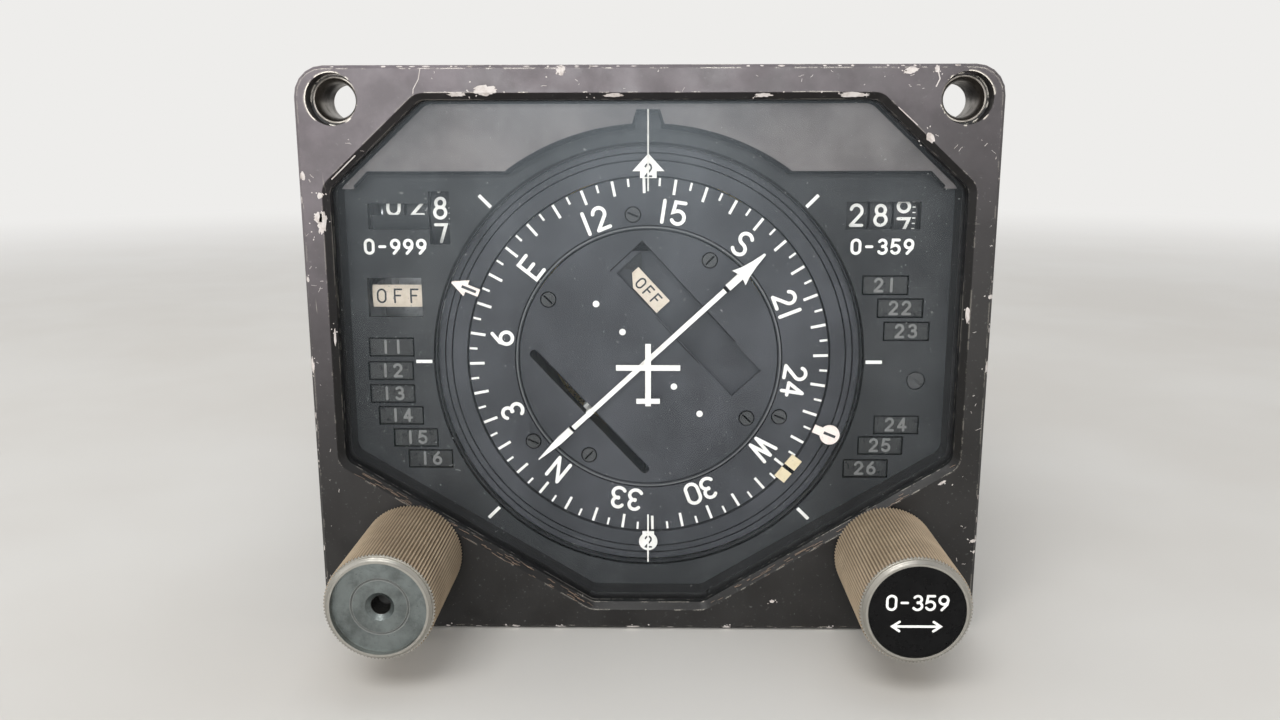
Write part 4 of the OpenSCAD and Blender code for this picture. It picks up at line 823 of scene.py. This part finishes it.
def shroud_shadow(bm):
    """Dark line along the lower edges of the shroud"""
    step_x, edge_z, arc_r, notch_z = 53.0, 34.8, 45.2, 46.1
    cut = math.degrees(math.asin((edge_z - DIAL_Z) / arc_r))
    notch = math.degrees(math.acos(2.75 / arc_r))
    put = place((0, 0), face_depth("light_shroud"))
    for side in (-1, 1):
        def mirrored(points):
            return [(side * x, z) for x, z in points]
        inner_end = (arc_r * math.cos(math.radians(cut)), edge_z + 0.2)
        ledge = [(step_x + 2.4, edge_z - 2.3), (step_x - 0.1, edge_z + 0.2), inner_end]
        stroke(bm, mirrored(ledge), 0.6, put)
        stroke(bm, mirrored(arc(0, DIAL_Z, arc_r + 0.4, arc_r + 0.4, cut, notch, 40)), 0.95, put, 0.024)
        notch_line = [(2.9, notch_z - 2.6), (2.0, notch_z + 0.2), (0, notch_z + 0.2)]
        stroke(bm, mirrored(notch_line), 0.55, put, 0.028)


piece("shroud_shadow", shroud_shadow, line_black, "housing")


def dust(bm):
    """Specks of dust on the fixed mask, most of them near its edges"""
    rng = random.Random(21)
    mask_from = 43.5
    for _ in range(170):
        side, share = rng.choice((-1, 1)), rng.random() ** 2
        x, z = side * (56.5 - 12 * share), rng.uniform(-20, 31)
        if math.hypot(x, z - DIAL_Z) < mask_from:
            continue
        size = rng.uniform(0.04, 0.1)
        solid(bm, circle(size, 6), place((x, z), MASK_Y), RAISED + size / 2)


piece("dust_specks", dust, dim_print_and_highlight, "housing")

# Wear on the bezel: chips through the paint, edge wear and scratches, laid on its face and chamfers.
# The window's edge has level sides, and cuts at its corners that start at a height on the side edges
BEZEL_EDGE = 0.6              # depth of the chamfers
WINDOW_X, WINDOW_TOP, WINDOW_BOTTOM = 58.7, 48.1, -48.9
HIGH_CUT = (32.3, 15.8, 17.2, 23.36)          # start, rise and run across it, and their length
LOW_CUT = (-19.8, 29.1, 47.7, 55.88)
HOLE_X, HOLE_Z, HOLE_ROOM = 57.15, 48.2, 7.5  # the panel holes, and the room left round them
RIM = 0.04                    # marks stay this far inside the bezel's outline


def bezel_drop(x, z):
    """How deep the bezel's chamfers lie behind its front face"""
    x = abs(x)
    high_start, high_rise, high_run, high_length = HIGH_CUT
    low_start, low_rise, low_run, low_length = LOW_CUT
    outside = max(x - WINDOW_X, z - WINDOW_TOP, WINDOW_BOTTOM - z,
                  ((x - WINDOW_X) * high_rise + (z - high_start) * high_run) / high_length,
                  ((x - WINDOW_X) * low_rise - (z - low_start) * low_run) / low_length)
    rim = min(BEZEL_W / 2 - x, BEZEL_H / 2 - abs(z))
    return max(0.0, BEZEL_EDGE - rim, BEZEL_EDGE - outside / 2)


def on_bezel(at, angle=0.0):
    """Puts marks on the bezel's front: origin [x, z], turned anticlockwise"""
    a = math.radians(angle)
    def put(u, v, lift):
        x = at[0] + u * math.cos(a) - v * math.sin(a)
        z = at[1] + u * math.sin(a) + v * math.cos(a)
        x = max(RIM - BEZEL_W / 2, min(BEZEL_W / 2 - RIM, x))
        z = max(RIM - BEZEL_H / 2, min(BEZEL_H / 2 - RIM, z))
        return Vector((x * MM, (FRONT + bezel_drop(x, z) - lift) * MM, z * MM))
    return put


def chip(bm, rng, at, half_w, half_h, angle=0.0):
    """A ragged flake, made of rings so that it can follow the chamfers"""
    put = on_bezel(at, angle)
    count = 30 if half_w > 0.8 else 11
    shape = [(rng.uniform(0.55, 1.0) ** 0.8, 2 * math.pi * (k + rng.uniform(-0.4, 0.4)) / count)
             for k in range(count)]
    rims = []
    for lift in (0.03, -0.03):
        rings = [[bm.verts.new(put(half_w * share * r * math.cos(a), half_h * share * r * math.sin(a), lift))
                  for r, a in shape] for share in (1.0, 0.66, 0.33)]
        middle = bm.verts.new(put(0, 0, lift))
        skin(bm, rings)
        for k in range(count):
            bm.faces.new((rings[-1][k], rings[-1][(k + 1) % count], middle))
        rims.append(rings[0])
    skin(bm, rims)


# Chips seen on the face: x, z, half width, half height and, where it is turned, the angle
CHIPS = [(-34.5, 49.0, 1.8, 0.5), (-29.3, 49.6, 2.6, 1.1), (-6.2, 48.8, 2.1, 0.4),
         (-15.6, 53.2, 1.2, 1.1, 70), (-63.2, 34.5, 0.6, 1.0), (-60.1, 26.0, 0.9, 2.6, -6),
         (-60.6, 27.0, 1.1, 1.2, 30), (-60.2, 31.0, 0.8, 0.7, 40), (-63.6, -0.8, 0.5, 1.7),
         (-63.5, 15.6, 0.4, 0.7), (-59.1, 4.6, 0.25, 2.1), (20.7, 48.8, 1.9, 0.4),
         (36.8, 48.8, 3.2, 0.5), (51.4, 53.3, 0.6, 0.8), (46.8, 53.0, 1.6, 0.7, 12),
         (50.9, 41.3, 0.8, 1.3, 40), (59.5, 9.0, 0.45, 1.7), (63.6, 12.4, 0.7, 0.5, 20),
         (63.7, -1.1, 0.4, 1.3), (-39.8, -53.8, 0.6, 0.4), (-26.2, -53.8, 0.9, 0.35),
         (-17.7, -53.8, 0.7, 0.3), (-3.0, -53.8, 1.5, 0.35), (15.7, -53.8, 0.9, 0.4),
         (35.9, -53.8, 0.7, 0.3), (63.3, -35.4, 0.8, 0.4), (63.6, -37.7, 0.4, 0.35),
         (56.6, -23.6, 1.0, 0.3, 32), (24.5, -48.2, 0.6, 0.4)]


def paint_chips(bm):
    """The chips with crumbs round them, then worn spots all along the outer edge"""
    rng = random.Random(5)
    for x, z, half_w, half_h, *angle in CHIPS:
        chip(bm, rng, (x, z), half_w, half_h, *angle)
        for _ in range(4):
            near = (x + rng.uniform(-2.4, 2.4) * half_w, z + rng.uniform(-1.5, 1.5) * half_h)
            chip(bm, rng, near, rng.uniform(0.1, 0.24), rng.uniform(0.08, 0.18), rng.uniform(0, 180))
    for _ in range(60):
        along = rng.uniform(-1, 1)
        side, up = rng.choice(((0, 1), (0, 1), (0, -1), (-1, 0), (1, 0)))
        at = (side * 63.7 + (1 - abs(side)) * along * 60, up * 53.85 + (1 - abs(up)) * along * 50)
        long, short = rng.uniform(0.2, 0.9), rng.uniform(0.1, 0.22)
        chip(bm, rng, at, short if side else long, long if side else short)


def scratch(bm, rng, at, angle, reach):
    """A fine line that wavers a little"""
    bends = [(-reach, 0), (-reach / 3, rng.gauss(0, 0.05)), (reach / 3, rng.gauss(0, 0.05)), (reach, 0)]
    stroke(bm, bends, rng.uniform(0.04, 0.09), on_bezel(at, angle), step=0.6)


def lip_scratches(bm):
    """Scratches along the lower cuts of the window, most of them at the left"""
    rng = random.Random(3)
    _, rise, run, _ = LOW_CUT
    for _ in range(90):
        share, side = rng.random() ** 0.9, rng.choice((-1, -1, 1))
        out = rng.uniform(0.1, 1.3)
        at = (side * (WINDOW_X - run * (1 - share) + 0.52 * out), WINDOW_BOTTOM + rise * share - 0.85 * out)
        angle, reach = side * 31.4 + rng.gauss(0, 1.5), rng.uniform(0.3, 1.3)
        scratch(bm, rng, at, angle, reach)


def face_scratches(bm):
    """Short scratches and specks on the sides, the top and round the upper corners"""
    rng = random.Random(9)
    for _ in range(90):
        side = rng.choice((-1, 1))
        at = rng.choice(((side * rng.uniform(59.8, 63), rng.uniform(-50, 50)),
                         (rng.uniform(-60, 60), rng.uniform(49.6, 53.4)),
                         (side * rng.uniform(52, 62), rng.uniform(38, 50))))
        if math.hypot(abs(at[0]) - HOLE_X, abs(at[1]) - HOLE_Z) < HOLE_ROOM:
            continue
        angle, reach = rng.uniform(0, 180), rng.uniform(0.05, 0.5)
        scratch(bm, rng, at, angle, reach)


def corner_crack(bm):
    """Cracks in the paint near the upper corners"""
    for width, points in ((0.14, [(-40.8, 53.5), (-41.2, 51.6), (-42.2, 49.9), (-42.3, 48.8)]),
                          (0.2, [(51.5, 53.2), (52.0, 51.5), (51.4, 50.2)]),
                          (0.2, [(-57.9, 34.0), (-53.4, 38.2)]), (0.16, [(44.9, 46.6), (48.4, 43.5)])):
        stroke(bm, points, width, on_bezel((0, 0)))


piece("paint_chips", paint_chips, primer, "housing")
piece("corner_crack", corner_crack, primer, "housing")
piece("lip_scratches", lip_scratches, tan_primer, "housing")
piece("face_scratches", face_scratches, primer, "housing")


def shutter(bm):
    """Curved blind that half covers the tens and hundreds of miles"""
    left, right = -54.2, -42.9
    inner, outer = 0.3, 0.5
    rings = []
    for angle in range(-32, 4, 3):
        put = wrapped(0, DRUM_Y, DRUM_Z, DRUM_R, angle)
        rings.append([bm.verts.new(put(x, 0, lift)) for x, lift in ((left, inner), (right, inner),
                                                                    (right, outer), (left, outer))])
    bm.faces.new(rings[0])
    bm.faces.new(rings[-1][::-1])
    skin(bm, rings)


piece("miles_shutter", shutter, mask_black, "housing")


def connector_threads(bm):
    """Coupling threads of the rear connectors: a helix of low ridges that fades in and out"""
    pitch, turns, segments, start_y = 1.0, 7, 48, CASE_BACK + 5.0
    for x, z, r in ((-24, 4, 15.5), (27, 4, 11.5)):
        rings = []
        for k in range(turns * segments + 1):
            a = 2 * math.pi * k / segments
            fade = min(1.0, k / segments, turns - k / segments)
            y = start_y + pitch * k / segments
            ring = []
            for q, lag in ((r - 0.05, -0.4), (r + 0.4 * fade, 0), (r - 0.05, 0.4)):
                corner = (x + q * math.cos(a), y + lag, z + q * math.sin(a))
                ring.append(bm.verts.new([MM * c for c in corner]))
            rings.append(ring)
        bm.faces.new(rings[0])
        bm.faces.new(rings[-1][::-1])
        skin(bm, rings)


piece("connector_threads", connector_threads, thread_metal, "housing")

# Small bevels that catch the light along the machined edges
for name, width in (("light_shroud", 0.2), ("compass_card", 0.16), ("course_disc", 0.16),
                    ("rear_connectors", 0.25), ("course_knob_cap", 0.15), ("hole_bushings", 0.1)):
    soften(name, width)


# Stage, light and camera

def stage_floor():
    """A round sweep: the bezel's lower edge and the case's rear edge both rest on its flat middle"""
    lean = math.atan2(BEZEL_H / 2 - CASE_H / 2, CASE_BACK)
    flat_r, sweep, height = 1.4, 0.9, 3.0
    bm = bmesh.new()
    bends = [math.radians(a) for a in range(5, 91, 5)]
    profile = [(0.25, 0), (0.7, 0), (flat_r, 0)]
    profile += [(flat_r + sweep * math.sin(a), sweep * (1 - math.cos(a))) for a in bends]
    profile.append((flat_r + sweep, height))
    rings = [[bm.verts.new((u, v, z)) for u, v in circle(r, 96)] for r, z in profile]
    bm.faces.new(rings[0])
    skin(bm, rings)
    bmesh.ops.recalc_face_normals(bm, faces=bm.faces)
    mesh = bpy.data.meshes.new("floor")
    bm.to_mesh(mesh)
    bm.free()
    for face in mesh.polygons:
        face.use_smooth = len(face.vertices) == 4
    floor = bpy.data.objects.new("floor", mesh)
    floor.matrix_world = Matrix.Translation((0, 0, -BEZEL_H / 2 * MM)) @ Matrix.Rotation(lean, 4, "X")
    bpy.context.scene.collection.objects.link(floor)
    mesh.materials.append(stage_finish())


def stage_finish():
    """Pale paper that fades to an even white away from the object, where rays see it directly or in gloss"""
    p = Paint("floor", rgb(226, 223, 218), 0.8)
    p.set("Base Color", p.mix(p.span(p.noise(120, 3), 0.3, 0.7), rgb(212, 209, 204), rgb(218, 216, 212)))
    path = p.node("ShaderNodeLightPath")
    seen = p.math("MAXIMUM", path.outputs["Is Camera Ray"],
                  p.math("MAXIMUM", path.outputs["Is Glossy Ray"], path.outputs["Is Transmission Ray"]))
    reach = p.node("ShaderNodeVectorMath", operation="LENGTH")
    p.put(reach.inputs[0], p.object)
    far = p.span(reach.outputs["Value"], 0.3, 1.3)
    white = p.node("ShaderNodeEmission")
    p.put(white.inputs["Color"], rgb(238, 237, 235))
    blend = p.node("ShaderNodeMixShader")
    p.put(blend.inputs[0], p.product(seen, far))
    p.put(blend.inputs[1], p.bsdf.outputs[0])
    p.put(blend.inputs[2], white.outputs[0])
    p.put(p.tree.nodes["Material Output"].inputs["Surface"], blend.outputs[0])
    return p.material


def softbox(name, at, aim, size, glow, colour=(1, 1, 1)):
    """A rectangular lamp that the camera doesn't see, whose face has an even radiance"""
    light = bpy.data.lights.new(name, "AREA")
    light.shape = "RECTANGLE"
    light.size, light.size_y = size
    light.energy = glow * math.pi * size[0] * size[1]
    light.color = colour
    made = bpy.data.objects.new(name, light)
    made.location = at
    made.rotation_euler = (Vector(aim) - Vector(at)).to_track_quat("-Z", "Y").to_euler()
    made.visible_camera = False
    bpy.context.scene.collection.objects.link(made)


stage_floor()
softbox("front", (-0.15, -1.15, 0.2), (-0.15, 0, 0.2), (1.3, 0.36), 3.6, (1.0, 0.99, 0.97))
softbox("window", (-0.06, -1.1, 0.2), (-0.06, 0, 0.1), (0.3, 0.3), 14.0, (0.94, 0.98, 1.0))
softbox("key", (-0.3, -0.8, 1.1), (0, 0, 0), (0.9, 0.6), 5.0, (1.0, 0.99, 0.97))
softbox("top", (0.1, 0.4, 1.35), (0, 0.08, 0), (1.2, 0.9), 1.8, (0.98, 0.99, 1.0))
softbox("left", (-1.2, 0.0, 0.6), (0, 0.05, 0), (0.8, 0.7), 1.0)

world = bpy.data.worlds.new("world")
bpy.context.scene.world = world
world.use_nodes = True
world.node_tree.nodes["Background"].inputs["Color"].default_value = (0.93, 0.95, 1.0, 1)
world.node_tree.nodes["Background"].inputs["Strength"].default_value = 0.4

# The camera: focal length and image width in pixels, place in metres, angles in radians
camera_data = bpy.data.cameras.new("camera")
camera = bpy.data.objects.new("camera", camera_data)
bpy.context.scene.collection.objects.link(camera)
bpy.context.scene.camera = camera
focal, image_width = 1026.098, 1280
camera_data.sensor_width = 36
camera_data.lens = camera_data.sensor_width * focal / image_width
camera_data.clip_start = 0.01
camera_at = (0.0015387, -0.2023897, 0.038271)
pitch, yaw, roll = 0.197243, -0.0158862, -0.00132877
forward = Vector((math.sin(yaw) * math.cos(pitch), math.cos(yaw) * math.cos(pitch), -math.sin(pitch)))
level = Vector((math.cos(yaw), -math.sin(yaw), 0))
above = level.cross(forward)
right = level * math.cos(roll) + above * math.sin(roll)
upward = above * math.cos(roll) - level * math.sin(roll)
turned = Matrix((right, upward, -forward)).transposed().to_4x4()
camera.matrix_world = Matrix.Translation(camera_at) @ turned

bpy.context.scene.view_settings.view_transform = "Standard"
